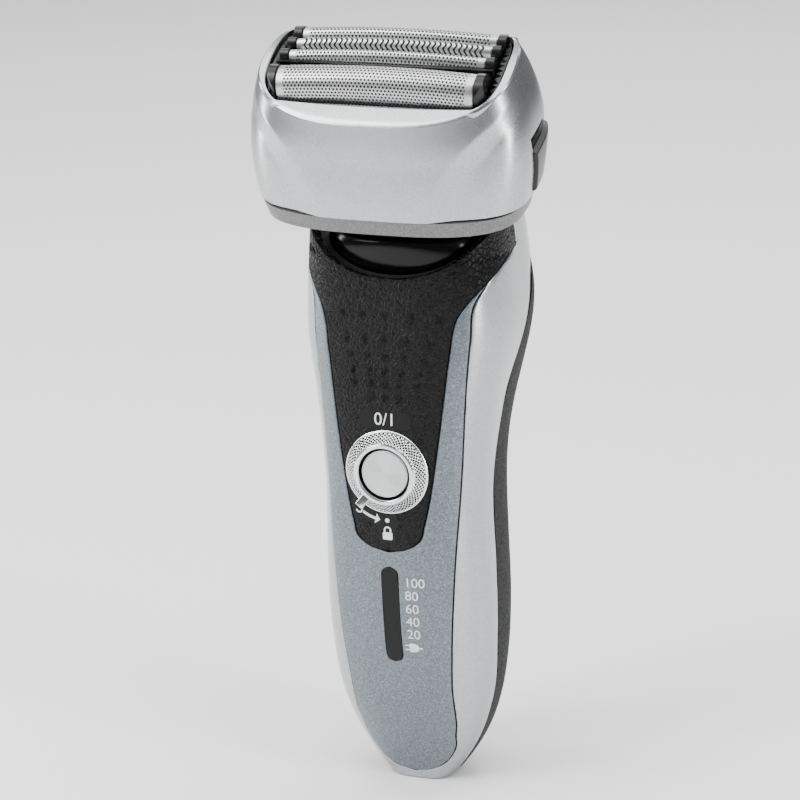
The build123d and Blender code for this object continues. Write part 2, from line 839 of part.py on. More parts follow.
slit_pitch = 2.2
slit_width = 0.7
slit_count = 18
with BuildPart() as slit_blade:
    add(foil_shell(slit_foil, foil_leg - 1))
    with BuildSketch(head_plane.offset(-2.2)):
        with Locations((0, slit_foil[0])):
            with GridLocations(slit_pitch, 1, slit_count, 1):
                Rectangle(slit_width, 3.0)
    extrude(amount=4.0, mode=Mode.SUBTRACT)
save(slit_blade, "slit_blade")

save(end_caps([front_foil], foil_leg), "front_caps")
save(end_caps([finish_foil, slit_foil], foil_leg - 1), "centre_caps")
save(end_caps([rear_foil], foil_leg), "rear_caps")


def cutter_block(foil, leg):
    inset = foil_thickness + blade_gap
    return bowed([(arch(foil, inset, foil_arch_rise, leg), Mode.ADD)], blade_half_length)


blade_pitch = 2.2
blade_slot = 1.1
blade_count = 17


def cut_slots(block, foil, depth):
    centre, front_width, back_width = foil
    with BuildPart() as slotted:
        add(block)
        with BuildSketch(head_plane.offset(-depth)):
            with Locations((0, centre)):
                with GridLocations(blade_pitch, 1, blade_count, 1):
                    Rectangle(blade_slot, 2 * max(front_width, back_width))
        extrude(amount=6.0, mode=Mode.SUBTRACT)
    return slotted.part


guide_spots = (-guide_pin_offset, guide_pin_offset)

for name, foil in (("inner_blade_front", front_foil), ("inner_blade_rear", rear_foil)):
    with BuildPart() as inner_blade:
        add(cut_slots(cutter_block(foil, foil_leg), foil, 3.6))
        with BuildSketch(head_plane.offset(-9.0)):
            with Locations(*[(x, foil[0]) for x in guide_spots]):
                Circle(guide_pin_radius + running_fit)
        extrude(amount=4.5, mode=Mode.SUBTRACT)
    save(inner_blade, name)

centre_guide = 1.35
plate_top = -7.6
plate_bottom = -8.6
with BuildPart() as inner_blade_centre:
    add(cut_slots(cutter_block(finish_foil, foil_leg + 0.5), finish_foil, 3.6))
    add(cut_slots(cutter_block(slit_foil, foil_leg + 0.5), slit_foil, 3.6))
    with BuildSketch(head_plane.offset(plate_bottom)):
        with Locations((0, centre_guide)):
            Rectangle(2 * blade_half_length - 1.5, 7.2)
    extrude(amount=plate_top - plate_bottom)
    with BuildSketch(head_plane.offset(plate_bottom - 1.3)):
        with Locations(*[(x, centre_guide) for x in guide_spots]):
            Circle(guide_pin_radius + 0.8)
    extrude(amount=1.4)
    with BuildSketch(head_plane.offset(plate_bottom - 2)):
        with Locations(*[(x, centre_guide) for x in guide_spots]):
            Circle(guide_pin_radius + running_fit)
    extrude(amount=2 + plate_top - plate_bottom + 0.2, mode=Mode.SUBTRACT)
save(inner_blade_centre, "inner_blade_centre")

arm_top = -11.8
arm_thickness = 1.0
neck_half_x = 5.0
front_neck = (-8.8, -6.4)
rear_neck = (0.2, 2.6)


def drive_arm(neck, yoke, plate_depth, pins):
    # yoke in the motor, a neck through its lid and a plate with guide pins
    with BuildPart() as arm:
        with BuildSketch(head_plane.offset(motor_bottom + 1.6)):
            with Locations((0, (yoke[0] + yoke[1]) / 2)):
                Rectangle(24, yoke[1] - yoke[0])
        extrude(amount=3.0)
        with BuildSketch(head_plane.offset(motor_bottom + 1.6)):
            with Locations((0, (neck[0] + neck[1]) / 2)):
                Rectangle(2 * neck_half_x, neck[1] - neck[0])
        extrude(amount=arm_top - motor_bottom - 1.6)
        with BuildSketch(head_plane.offset(arm_top - arm_thickness)):
            with Locations((0, (plate_depth[0] + plate_depth[1]) / 2)):
                RectangleRounded(2 * guide_pin_offset + 4, plate_depth[1] - plate_depth[0], 0.8)
        extrude(amount=arm_thickness)
        for depth, pin_top in pins:
            with BuildSketch(head_plane.offset(arm_top - 0.2)):
                with Locations(*[(x, depth) for x in guide_spots]):
                    Circle(guide_pin_radius)
            extrude(amount=pin_top - arm_top + 0.2)
    return arm


front_yoke = (-12.4, -6.0)
rear_yoke = (-2.0, 4.4)
blade_pin_top = -6.3
centre_pin_top = -8.9
save(
    drive_arm(front_neck, front_yoke, (-9.4, -5.8), [(front_foil[0], blade_pin_top)]),
    "drive_arm_front",
)
save(
    drive_arm(rear_neck, rear_yoke, (-0.4, 9.4), [(centre_guide, centre_pin_top), (rear_foil[0], blade_pin_top)]),
    "drive_arm_rear",
)

motor_middle = (motor_front + motor_back) / 2
motor_depth = motor_back - motor_front
with BuildPart() as motor_case:
    with BuildSketch(head_plane.offset(motor_bottom)):
        with Locations((0, motor_middle)):
            RectangleRounded(2 * motor_half_length, motor_depth, 2.0)
    extrude(amount=motor_top - motor_bottom)
    with BuildSketch(head_plane.offset(motor_bottom)):
        with Locations((0, motor_middle)):
            RectangleRounded(2 * (motor_half_length + flange_reach), 8.0, 1.5)
    extrude(amount=flange_thickness)
    with BuildSketch(head_plane.offset(motor_bottom + motor_wall)):
        with Locations((0, motor_middle)):
            RectangleRounded(2 * (motor_half_length - motor_wall), motor_depth - 2 * motor_wall, 1.0)
    extrude(amount=motor_top - motor_bottom - 2 * motor_wall, mode=Mode.SUBTRACT)
    with BuildSketch(head_plane.offset(motor_top - 3)):
        for neck_span in (front_neck, rear_neck):
            with Locations((0, (neck_span[0] + neck_span[1]) / 2)):
                Rectangle(
                    2 * (neck_half_x + drive_travel + slide_gap),
                    neck_span[1] - neck_span[0] + 2 * slide_gap,
                )
    extrude(amount=6, mode=Mode.SUBTRACT)
    with BuildSketch(head_plane.offset(motor_bottom - 1)):
        with Locations((-motor_half_length - flange_screw, -4), (motor_half_length + flange_screw, -4)):
            Circle(screw_shank + 0.1)
    extrude(amount=5, mode=Mode.SUBTRACT)
save(motor_case, "motor_case")

with BuildPart() as motor_coil:
    with BuildSketch(head_plane.offset(motor_bottom + motor_wall)):
        with Locations((0, motor_middle)):
            RectangleRounded(20, 3.2, 1.2)
    extrude(amount=3.9)
save(motor_coil, "motor_coil")

with BuildPart() as motor_screws:
    with BuildSketch(head_plane.offset(motor_bottom - 2.6)):
        with Locations((-motor_half_length - flange_screw, -4), (motor_half_length + flange_screw, -4)):
            Circle(screw_shank)
    extrude(amount=2.6 + flange_thickness)
    with BuildSketch(head_plane.offset(motor_bottom + flange_thickness)):
        with Locations((-motor_half_length - flange_screw, -4), (motor_half_length + flange_screw, -4)):
            Circle(screw_head)
    extrude(amount=0.8)
save(motor_screws, "motor_screws")

# POP-UP TRIMMER on the back of the handle
with BuildPart() as trimmer_bay:
    add(handle_body(0.3, 90.0))
    with BuildSketch(Plane.XY.offset(bay_bottom + bay_gap)):
        with Locations((0, bay_floor + bay_gap + 20)):
            Rectangle(2 * (bay_half_width - bay_gap), 40)
    extrude(amount=bay_top - bay_bottom - 2 * bay_gap, mode=Mode.INTERSECT)
    with BuildSketch(Plane.XY.offset(bay_bottom + bay_gap + bay_wall)):
        with Locations((0, bay_floor + bay_gap + bay_wall + 20)):
            Rectangle(2 * (bay_half_width - bay_gap - bay_wall), 40)
    extrude(amount=bay_top - bay_bottom - 2 * bay_gap - 2 * bay_wall, mode=Mode.SUBTRACT)
    with BuildSketch(Plane.YZ):
        with Locations((trimmer_pin_y, trimmer_pin_z)):
            Circle(trimmer_pin_radius)
    extrude(amount=30, both=True, mode=Mode.SUBTRACT)
save(trimmer_bay, "trimmer_bay")

with BuildPart() as trimmer_arm:
    with BuildSketch(Plane.YZ):
        with BuildLine():
            Polyline(
                (trimmer_front + 0.4, trimmer_pin_z + 1.6),
                (trimmer_front, trimmer_pin_z + 4.0),
                (trimmer_front, trimmer_body_top),
                (trimmer_front + 20, trimmer_body_top),
                (trimmer_front + 20, trimmer_pin_z + 2.9),
                (trimmer_pin_y, trimmer_pin_z + 2.0),
                (trimmer_pin_y - 1.5, trimmer_pin_z),
                close=True,
            )
        make_face()
    extrude(amount=trimmer_half_width, both=True)
    add(handle_body(0.2, 90.0), mode=Mode.INTERSECT)
    with BuildSketch(Plane.YZ):
        with Locations((trimmer_pin_y, trimmer_pin_z)):
            Circle(trimmer_barrel)
    extrude(amount=trimmer_half_width, both=True)
    with BuildSketch(Plane.YZ):
        with Locations((trimmer_pin_y, trimmer_pin_z)):
            Circle(trimmer_pin_radius + running_fit)
    extrude(amount=20, both=True, mode=Mode.SUBTRACT)
    with BuildSketch(Plane.XY.offset(trimmer_body_top - 6.2)):
        with Locations((0, comb_back - 2 * comb_thickness + 0.4)):
            Rectangle(2 * comb_half_width + 0.4, 2 * comb_thickness + 0.4)
    extrude(amount=10, mode=Mode.SUBTRACT)
save(trimmer_arm, "trimmer_arm")

with BuildPart() as trimmer_pin:
    with BuildSketch(Plane.YZ):
        with Locations((trimmer_pin_y, trimmer_pin_z)):
            Circle(trimmer_pin_radius)
    extrude(amount=bay_half_width - bay_gap, both=True)
save(trimmer_pin, "trimmer_pin")


def comb_plate(half_width, back, top, teeth):
    with BuildPart() as plate:
        with BuildSketch(Plane.XZ.offset(-back)):
            with Locations((0, (trimmer_body_top - 6 + top) / 2)):
                Rectangle(2 * half_width, top - trimmer_body_top + 6)
            with Locations((0, top)):
                with GridLocations(tooth_pitch, 1, teeth, 1):
                    Rectangle(tooth_gap, 5.6, mode=Mode.SUBTRACT)
        extrude(amount=comb_thickness)
    return plate


save(comb_plate(comb_half_width, comb_back, trimmer_top, 15), "trimmer_comb")
save(
    comb_plate(comb_half_width - 0.9, comb_back - comb_thickness - 0.1, trimmer_top - 0.5, 14),
    "trimmer_blade",
)

with BuildPart() as trimmer_slider:
    with BuildSketch(slider_plane.offset(-slider_sink + seat_gap)):
        RectangleRounded(slider_width, slider_length, 1.8)
    extrude(amount=slider_sink + slider_rise - seat_gap)
    chamfer(trimmer_slider.edges().group_by(Axis(slider_centre, slider_plane.z_dir))[-1], 0.5)
    for rib in range(3):
        with BuildSketch(slider_plane.offset(slider_rise - 0.4)):
            with Locations((0, 2.0 - 2.0 * rib)):
                Rectangle(slider_width - 4, 0.8)
        extrude(amount=2, mode=Mode.SUBTRACT)
save(trimmer_slider, "trimmer_slider")
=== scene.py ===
import json
import math

import bmesh
import bpy
import numpy as np
from mathutils import Matrix, Vector


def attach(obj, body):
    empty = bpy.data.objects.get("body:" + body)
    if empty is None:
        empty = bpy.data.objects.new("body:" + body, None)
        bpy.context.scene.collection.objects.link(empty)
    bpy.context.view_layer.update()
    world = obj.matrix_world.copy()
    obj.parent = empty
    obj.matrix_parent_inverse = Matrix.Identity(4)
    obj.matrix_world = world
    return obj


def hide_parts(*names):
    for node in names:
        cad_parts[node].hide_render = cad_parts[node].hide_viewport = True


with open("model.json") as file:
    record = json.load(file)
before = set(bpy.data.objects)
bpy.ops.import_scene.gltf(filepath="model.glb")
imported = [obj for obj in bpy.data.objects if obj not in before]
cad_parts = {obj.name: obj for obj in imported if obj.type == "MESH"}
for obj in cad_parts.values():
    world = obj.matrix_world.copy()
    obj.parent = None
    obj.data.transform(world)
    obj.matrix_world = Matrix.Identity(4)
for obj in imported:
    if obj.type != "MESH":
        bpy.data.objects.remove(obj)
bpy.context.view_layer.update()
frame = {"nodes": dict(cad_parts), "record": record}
mm = 0.001
switchHeight = 77.6  # millimetres up to the middle of the button and its ring

# Handle sections: height, half width, front and back, all in millimetres.
handle = {
    "power": 3.0,
    "sections": [
        (0.0, 7.4, -6.8, 7.2),
        (4.0, 10.5, -8.0, 9.5),
        (10.0, 13.9, -10.6, 12.0),
        (20.0, 17.1, -15.0, 14.4),
        (36.0, 18.8, -19.1, 16.4),
        (54.0, 18.9, -21.0, 15.9),
        (72.0, 18.6, -21.3, 15.7),
        (90.0, 20.3, -21.2, 19.2),
        (106.0, 23.1, -20.3, 23.4),
        (118.0, 22.8, -19.5, 22.4),
        (140.0, 21.0, -17.6, 16.0),
    ],
    "rimHeight": 120.6,
    "rimFront": -19.5,
    "rimRadius": 32.0,
    "rimTilt": 12.0,
    "skinGap": 0.12,  # how far a skin stops short of its own edge line
    "seamGap": 0.06,  # how far it stays off the edge line of its neighbour
    "skinThickness": 0.9,
    "baseRing": 2.2,  # height of the silver ring at the foot
    "arcLength": 60.0,  # about the way round from front centre to back centre
}

# Edge lines of the skins: height and half width, or depth for the back one.
panelEdge = [
    (2.2, 0.0), (3.4, 4.7), (6.5, 8.2), (13.0, 10.8), (28.0, 12.1), (44.0, 13.3), (60.0, 14.4),
    (80.0, 15.8), (92.0, 16.5), (107.0, 17.7), (115.0, 18.5), (119.5, 21.0), (126.0, 23.0), (140.0, 26.0),
]
gripEdge = [
    (64.8, 7.9), (70.0, 9.1), (78.0, 10.4), (87.0, 11.7), (96.0, 12.8), (104.0, 13.8), (112.0, 15.4),
    (116.6, 18.6), (119.5, 21.0), (126.0, 23.0), (140.0, 26.0),
]
backEdge = [
    (0.0, -3.0), (10.0, -3.0), (24.0, -2.8), (36.0, -3.8), (50.0, -4.4), (64.0, -5.0), (76.0, -4.8),
    (86.0, -3.2), (96.0, -0.8), (104.0, 3.4), (112.0, 8.4), (122.0, 12.0), (142.0, 14.0),
]


def smoothTable(points):
    # Slopes for a smooth curve through the points.
    xs = np.array([p[0] for p in points], float)
    ys = np.array([p[1:] for p in points], float)
    steps = np.diff(xs)[:, None]
    secants = np.diff(ys, axis=0) / steps
    middle = (secants[1:] * steps[:-1] + secants[:-1] * steps[1:]) / (steps[1:] + steps[:-1])
    return xs, ys, np.vstack([secants[:1], middle, secants[-1:]])


def smoothValue(table, x):
    xs, ys, slopes = table
    x = np.clip(np.asarray(x, float), xs[0], xs[-1])
    index = np.clip(np.searchsorted(xs, x, side="right") - 1, 0, len(xs) - 2)
    width = xs[index + 1] - xs[index]
    t = (x - xs[index]) / width
    t = t[..., None]
    width = width[..., None]
    start = (2 * t**3 - 3 * t**2 + 1) * ys[index] + (t**3 - 2 * t**2 + t) * width * slopes[index]
    end = (-2 * t**3 + 3 * t**2) * ys[index + 1] + (t**3 - t**2) * width * slopes[index + 1]
    return start + end


def ovalRadius(turn, half, depth, power):
    # Reach of a squared-off oval in the direction of turn.
    return (np.abs(np.cos(turn) / half) ** power + np.abs(np.sin(turn) / depth) ** power) ** (-1 / power)


# The outer wall as a table: at each height, even steps along the arc from front centre to back centre.
sectionCurve = smoothTable(handle["sections"])
tableHeights = np.linspace(0, 139, 464)
tableCount = 420
turns = np.linspace(-math.pi / 2, math.pi / 2, 900)


def wallTable():
    rows = []
    for half, front, back in smoothValue(sectionCurve, tableHeights):
        middle = (front + back) / 2
        depth = (back - front) / 2
        radius = ovalRadius(turns, half, depth, handle["power"])
        x = radius * np.cos(turns)
        y = middle + radius * np.sin(turns)
        length = np.concatenate([[0], np.cumsum(np.hypot(np.diff(x), np.diff(y)))])
        even = np.linspace(0, length[-1], tableCount)
        rows.append(np.stack([np.interp(even, length, x), np.interp(even, length, y)], -1))
    return np.array(rows)


wall = wallTable()
widest = wall[:, :, 0].argmax(axis=1)


def wallPoint(z, s):
    # The outer wall at height z and arc share s: 0 front centre, 1 back centre, negative on the left.
    z = np.asarray(z, float)
    share = np.clip(np.abs(s), 0, 1) * (tableCount - 1)
    row = np.clip(z / tableHeights[-1] * (len(tableHeights) - 1), 0, len(tableHeights) - 1.001)
    i = row.astype(int)
    j = np.clip(share.astype(int), 0, tableCount - 2)
    a = (row - i)[..., None]
    b = (share - j)[..., None]
    lower = (1 - b) * wall[i, j] + b * wall[i, j + 1]
    upper = (1 - b) * wall[i + 1, j] + b * wall[i + 1, j + 1]
    point = (1 - a) * lower + a * upper
    return np.stack([point[..., 0] * np.where(s < 0, -1, 1), point[..., 1], z], -1)


def wallNormal(z, s):
    step = 0.002  # arc share
    lift = 0.2  # millimetres
    across = wallPoint(z, np.asarray(s) + step) - wallPoint(z, np.asarray(s) - step)
    upward = wallPoint(z + lift, s) - wallPoint(z - lift, s)
    normal = np.cross(across, upward)
    return normal / np.linalg.norm(normal, axis=-1, keepdims=True)


def nearestRow(z):
    last = len(tableHeights) - 1
    return np.clip(np.round(np.asarray(z) / tableHeights[-1] * last), 0, last).astype(int)


def shareAtX(z, x):
    # Arc share where the front wall reaches half width x.
    rows = nearestRow(z)
    found = []
    for row, value in zip(rows.ravel(), np.ravel(x)):
        front = wall[row, : widest[row] + 1, 0]
        found.append(np.interp(value, front, np.arange(len(front))))
    return np.array(found).reshape(rows.shape) / (tableCount - 1)


def shareAtY(z, y):
    # Arc share where the wall reaches depth y.
    rows = nearestRow(z)
    found = []
    for row, value in zip(rows.ravel(), np.ravel(y)):
        found.append(np.interp(value, wall[row, :, 1], np.arange(tableCount)))
    return np.array(found).reshape(rows.shape) / (tableCount - 1)


def rimHeight(x, y):
    # The saddle-shaped top edge of the handle.
    tilt = math.radians(handle["rimTilt"])
    centre = handle["rimHeight"] + handle["rimRadius"] + (y - handle["rimFront"]) * math.tan(tilt)
    return centre - np.sqrt(np.maximum(handle["rimRadius"] ** 2 - x**2, 1.0)) / math.cos(tilt)


panelCurve = smoothTable(panelEdge)
gripCurve = smoothTable(gripEdge)
backCurve = smoothTable(backEdge)


# Each front skin ends below in an arc: where it starts, its half width there and how far it drops.
panelFoot = (13.0, 10.8, 10.8)
gripFoot = (64.8, 7.9, 5.2)


def footedHalf(z, curve, foot):
    # Half width along a skin's curve, closed by the arc of its foot.
    start, half, drop = foot
    z = np.asarray(z, float)
    low = half * np.sqrt(np.clip(1 - ((start - z) / drop) ** 2, 0, 1))
    return np.where(z < start, low, smoothValue(curve, np.maximum(z, start))[..., 0])


def panelHalf(z):
    return footedHalf(z, panelCurve, panelFoot)


def gripHalf(z):
    return footedHalf(z, gripCurve, gripFoot)


def finish(name, mesh, body, slot, smoothAngle=35):
    # Makes a piece of the mesh and hands it to its body and slot.
    data = bpy.data.meshes.new(name)
    bmesh.ops.recalc_face_normals(mesh, faces=mesh.faces)
    mesh.to_mesh(data)
    mesh.free()
    piece = bpy.data.objects.new(name, data)
    bpy.context.scene.collection.objects.link(piece)
    for face in data.polygons:
        face.use_smooth = True
    data.set_sharp_from_angle(angle=math.radians(smoothAngle))
    data.materials.append(materials[slot])
    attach(piece, body)
    return piece


def gridPatch(columns, rows, place, depth=0.0):
    # A grid laid out by place(u, v), with a back and closed edges if it has depth.
    mesh = bmesh.new()
    bmesh.ops.create_grid(mesh, x_segments=columns, y_segments=rows, size=1)
    mesh.verts.ensure_lookup_table()
    flat = np.array([(vert.co.x, vert.co.y) for vert in mesh.verts])
    u = (flat[:, 0] + 1) / 2
    v = (flat[:, 1] + 1) / 2
    points, normals = place(u, v)
    for vert, point in zip(mesh.verts, points):
        vert.co = Vector(point) * mm
    if depth:
        back = bmesh.ops.duplicate(mesh, geom=mesh.verts[:] + mesh.edges[:] + mesh.faces[:])
        copies = back["vert_map"]
        rim = [edge for edge in mesh.edges if edge.is_boundary]
        for vert, normal in zip(list(mesh.verts)[: len(points)], normals):
            copies[vert].co = vert.co - Vector(normal) * depth * mm
        behind = [face for face in back["geom"] if isinstance(face, bmesh.types.BMFace)]
        bmesh.ops.reverse_faces(mesh, faces=behind)
        bmesh.ops.bridge_loops(mesh, edges=rim)
    return mesh


def edgeSpread(t, evenShare=0.35):
    # Even steps made denser near both ends.
    bend = 0.5 - 0.5 * np.cos(math.pi * t)
    return t * evenShare + bend * (1 - evenShare)


def nodeTree(name):
    # A new material, its nodes and its shader.
    material = bpy.data.materials.new(name)
    material.use_nodes = True
    tree = material.node_tree
    shader = tree.nodes["Principled BSDF"]
    return material, tree, shader


def node(tree, kind, **values):
    made = tree.nodes.new(kind)
    for key, value in values.items():
        setattr(made, key, value)
    return made


def group(name, inputs, outputs):
    tree = bpy.data.node_groups.new(name, "ShaderNodeTree")
    for label, value in inputs.items():
        socket = tree.interface.new_socket(label, in_out="INPUT", socket_type="NodeSocketFloat")
        socket.default_value = value
    for label, kind in outputs.items():
        tree.interface.new_socket(label, in_out="OUTPUT", socket_type=kind)
    return tree, tree.nodes.new("NodeGroupInput"), tree.nodes.new("NodeGroupOutput")


def grainGroup():
    # Pebbled leather: a height made of rounded cells with wandering creases.
    tree, given, made = group(
        "leatherGrain",
        {"Scale": 900.0, "Strength": 0.6},
        {"Height": "NodeSocketFloat", "Normal": "NodeSocketVector"},
    )
    place = node(tree, "ShaderNodeTexCoord")
    warp = node(tree, "ShaderNodeTexNoise")
    warp.inputs["Scale"].default_value = 420.0
    warp.inputs["Detail"].default_value = 2.0
    mix = node(tree, "ShaderNodeVectorMath", operation="MULTIPLY_ADD")
    mix.inputs[1].default_value = (0.0012, 0.0012, 0.0012)
    tree.links.new(place.outputs["Object"], warp.inputs["Vector"])
    tree.links.new(warp.outputs["Color"], mix.inputs[0])
    tree.links.new(place.outputs["Object"], mix.inputs[2])
    cells = node(tree, "ShaderNodeTexVoronoi", feature="DISTANCE_TO_EDGE")
    tree.links.new(mix.outputs[0], cells.inputs["Vector"])
    tree.links.new(given.outputs["Scale"], cells.inputs["Scale"])
    curve = node(tree, "ShaderNodeMapRange", interpolation_type="SMOOTHSTEP")
    curve.inputs["From Max"].default_value = 0.22
    tree.links.new(cells.outputs["Distance"], curve.inputs["Value"])
    fine = node(tree, "ShaderNodeTexNoise")
    fine.inputs["Scale"].default_value = 3000.0
    tree.links.new(place.outputs["Object"], fine.inputs["Vector"])
    total = node(tree, "ShaderNodeMath", operation="MULTIPLY_ADD")
    total.inputs[1].default_value = 0.25
    tree.links.new(fine.outputs["Fac"], total.inputs[0])
    tree.links.new(curve.outputs["Result"], total.inputs[2])
    bump = node(tree, "ShaderNodeBump")
    bump.inputs["Distance"].default_value = 0.00022
    tree.links.new(given.outputs["Strength"], bump.inputs["Strength"])
    tree.links.new(total.outputs[0], bump.inputs["Height"])
    tree.links.new(total.outputs[0], made.inputs["Height"])
    tree.links.new(bump.outputs["Normal"], made.inputs["Normal"])
    return tree


def wearGroup():
    # Slow and fine variation for roughness, with a faint uneven surface.
    tree, given, made = group(
        "surfaceVariation",
        {"Low": 0.2, "High": 0.35, "Waviness": 0.02},
        {"Roughness": "NodeSocketFloat", "Mask": "NodeSocketFloat", "Normal": "NodeSocketVector"},
    )
    place = node(tree, "ShaderNodeTexCoord")
    slow = node(tree, "ShaderNodeTexNoise")
    slow.inputs["Scale"].default_value = 90.0
    slow.inputs["Detail"].default_value = 5.0
    fine = node(tree, "ShaderNodeTexNoise")
    fine.inputs["Scale"].default_value = 2400.0
    fine.inputs["Detail"].default_value = 2.0
    tree.links.new(place.outputs["Object"], slow.inputs["Vector"])
    tree.links.new(place.outputs["Object"], fine.inputs["Vector"])
    blend = node(tree, "ShaderNodeMath", operation="MULTIPLY_ADD")
    blend.inputs[1].default_value = 0.35
    tree.links.new(fine.outputs["Fac"], blend.inputs[0])
    tree.links.new(slow.outputs["Fac"], blend.inputs[2])
    spread = node(tree, "ShaderNodeMapRange")
    spread.inputs["From Min"].default_value = 0.4
    spread.inputs["From Max"].default_value = 0.95
    tree.links.new(blend.outputs[0], spread.inputs["Value"])
    tree.links.new(given.outputs["Low"], spread.inputs["To Min"])
    tree.links.new(given.outputs["High"], spread.inputs["To Max"])
    bump = node(tree, "ShaderNodeBump")
    bump.inputs["Distance"].default_value = 0.0002
    tree.links.new(given.outputs["Waviness"], bump.inputs["Strength"])
    tree.links.new(slow.outputs["Fac"], bump.inputs["Height"])
    tree.links.new(spread.outputs["Result"], made.inputs["Roughness"])
    tree.links.new(slow.outputs["Fac"], made.inputs["Mask"])
    tree.links.new(bump.outputs["Normal"], made.inputs["Normal"])
    return tree


def flakeGroup():
    # Metal flakes of a lacquer: sparse bright specks and a fine mottle.
    tree, given, made = group(
        "lacquerFlakes",
        {"Scale": 5200.0, "Sparse": 0.86},
        {"Specks": "NodeSocketFloat", "Mottle": "NodeSocketFloat"},
    )
    place = node(tree, "ShaderNodeTexCoord")
    cells = node(tree, "ShaderNodeTexVoronoi")
    tree.links.new(place.outputs["Object"], cells.inputs["Vector"])
    tree.links.new(given.outputs["Scale"], cells.inputs["Scale"])
    parts = node(tree, "ShaderNodeSeparateColor")
    tree.links.new(cells.outputs["Color"], parts.inputs[0])
    above = node(tree, "ShaderNodeMath", operation="GREATER_THAN")
    tree.links.new(parts.outputs[0], above.inputs[0])
    tree.links.new(given.outputs["Sparse"], above.inputs[1])
    tree.links.new(above.outputs[0], made.inputs["Specks"])
    tree.links.new(parts.outputs[1], made.inputs["Mottle"])
    return tree


# Patterns cut in the foils and the slit blade, in metres along their sheets.
cutPattern = {
    "halfLength": 0.0201,  # beyond it the sheet is plain
    "holePitch": 0.00082,
    "holeRadius": 0.34,  # of a pitch
    "slitPitch": 0.00115,
    "slitShare": 0.46,
    "waveLength": 0.0019,
    "waveSwing": 0.00026,
}


def bandMask(tree, parts, value):
    # Keeps a pattern off the plain bands at both ends of a sheet.
    away = node(tree, "ShaderNodeMath", operation="ABSOLUTE")
    tree.links.new(parts.outputs[0], away.inputs[0])
    inside = node(tree, "ShaderNodeMath", operation="LESS_THAN")
    inside.inputs[1].default_value = cutPattern["halfLength"]
    tree.links.new(away.outputs[0], inside.inputs[0])
    kept = node(tree, "ShaderNodeMath", operation="MULTIPLY")
    tree.links.new(inside.outputs[0], kept.inputs[0])
    tree.links.new(value, kept.inputs[1])
    return kept.outputs[0]


def perforationGroup():
    # Honeycomb of round holes over a foil's own flat coordinates.
    rowPitch = math.sqrt(3) / 2  # of a pitch
    tree, given, made = group(
        "foilHoles",
        {"Pitch": 1 / cutPattern["holePitch"], "Hole": cutPattern["holeRadius"]},
        {"Hole": "NodeSocketFloat"},
    )
    place = node(tree, "ShaderNodeUVMap", uv_map="sheet")
    scale = node(tree, "ShaderNodeVectorMath", operation="SCALE")
    tree.links.new(place.outputs["UV"], scale.inputs[0])
    tree.links.new(given.outputs["Pitch"], scale.inputs["Scale"])
    nearest = []
    for shift in ((0.0, 0.0, 0.0), (0.5, rowPitch, 0.0)):
        moved = node(tree, "ShaderNodeVectorMath", operation="ADD")
        moved.inputs[1].default_value = shift
        tree.links.new(scale.outputs["Vector"], moved.inputs[0])
        wrapped = node(tree, "ShaderNodeVectorMath", operation="WRAP")
        wrapped.inputs[1].default_value = (0.5, rowPitch, 1.0)
        wrapped.inputs[2].default_value = (-0.5, -rowPitch, -1.0)
        tree.links.new(moved.outputs["Vector"], wrapped.inputs[0])
        length = node(tree, "ShaderNodeVectorMath", operation="LENGTH")
        tree.links.new(wrapped.outputs["Vector"], length.inputs[0])
        nearest.append(length.outputs["Value"])
    closest = node(tree, "ShaderNodeMath", operation="MINIMUM")
    tree.links.new(nearest[0], closest.inputs[0])
    tree.links.new(nearest[1], closest.inputs[1])
    inside = node(tree, "ShaderNodeMath", operation="SUBTRACT")
    tree.links.new(given.outputs["Hole"], inside.inputs[0])
    tree.links.new(closest.outputs[0], inside.inputs[1])
    edge = node(tree, "ShaderNodeMapRange", interpolation_type="SMOOTHSTEP")
    edge.inputs["From Min"].default_value = -0.03
    edge.inputs["From Max"].default_value = 0.05
    tree.links.new(inside.outputs[0], edge.inputs["Value"])
    parts = node(tree, "ShaderNodeSeparateXYZ")
    tree.links.new(place.outputs["UV"], parts.inputs[0])
    tree.links.new(bandMask(tree, parts, edge.outputs["Result"]), made.inputs["Hole"])
    return tree


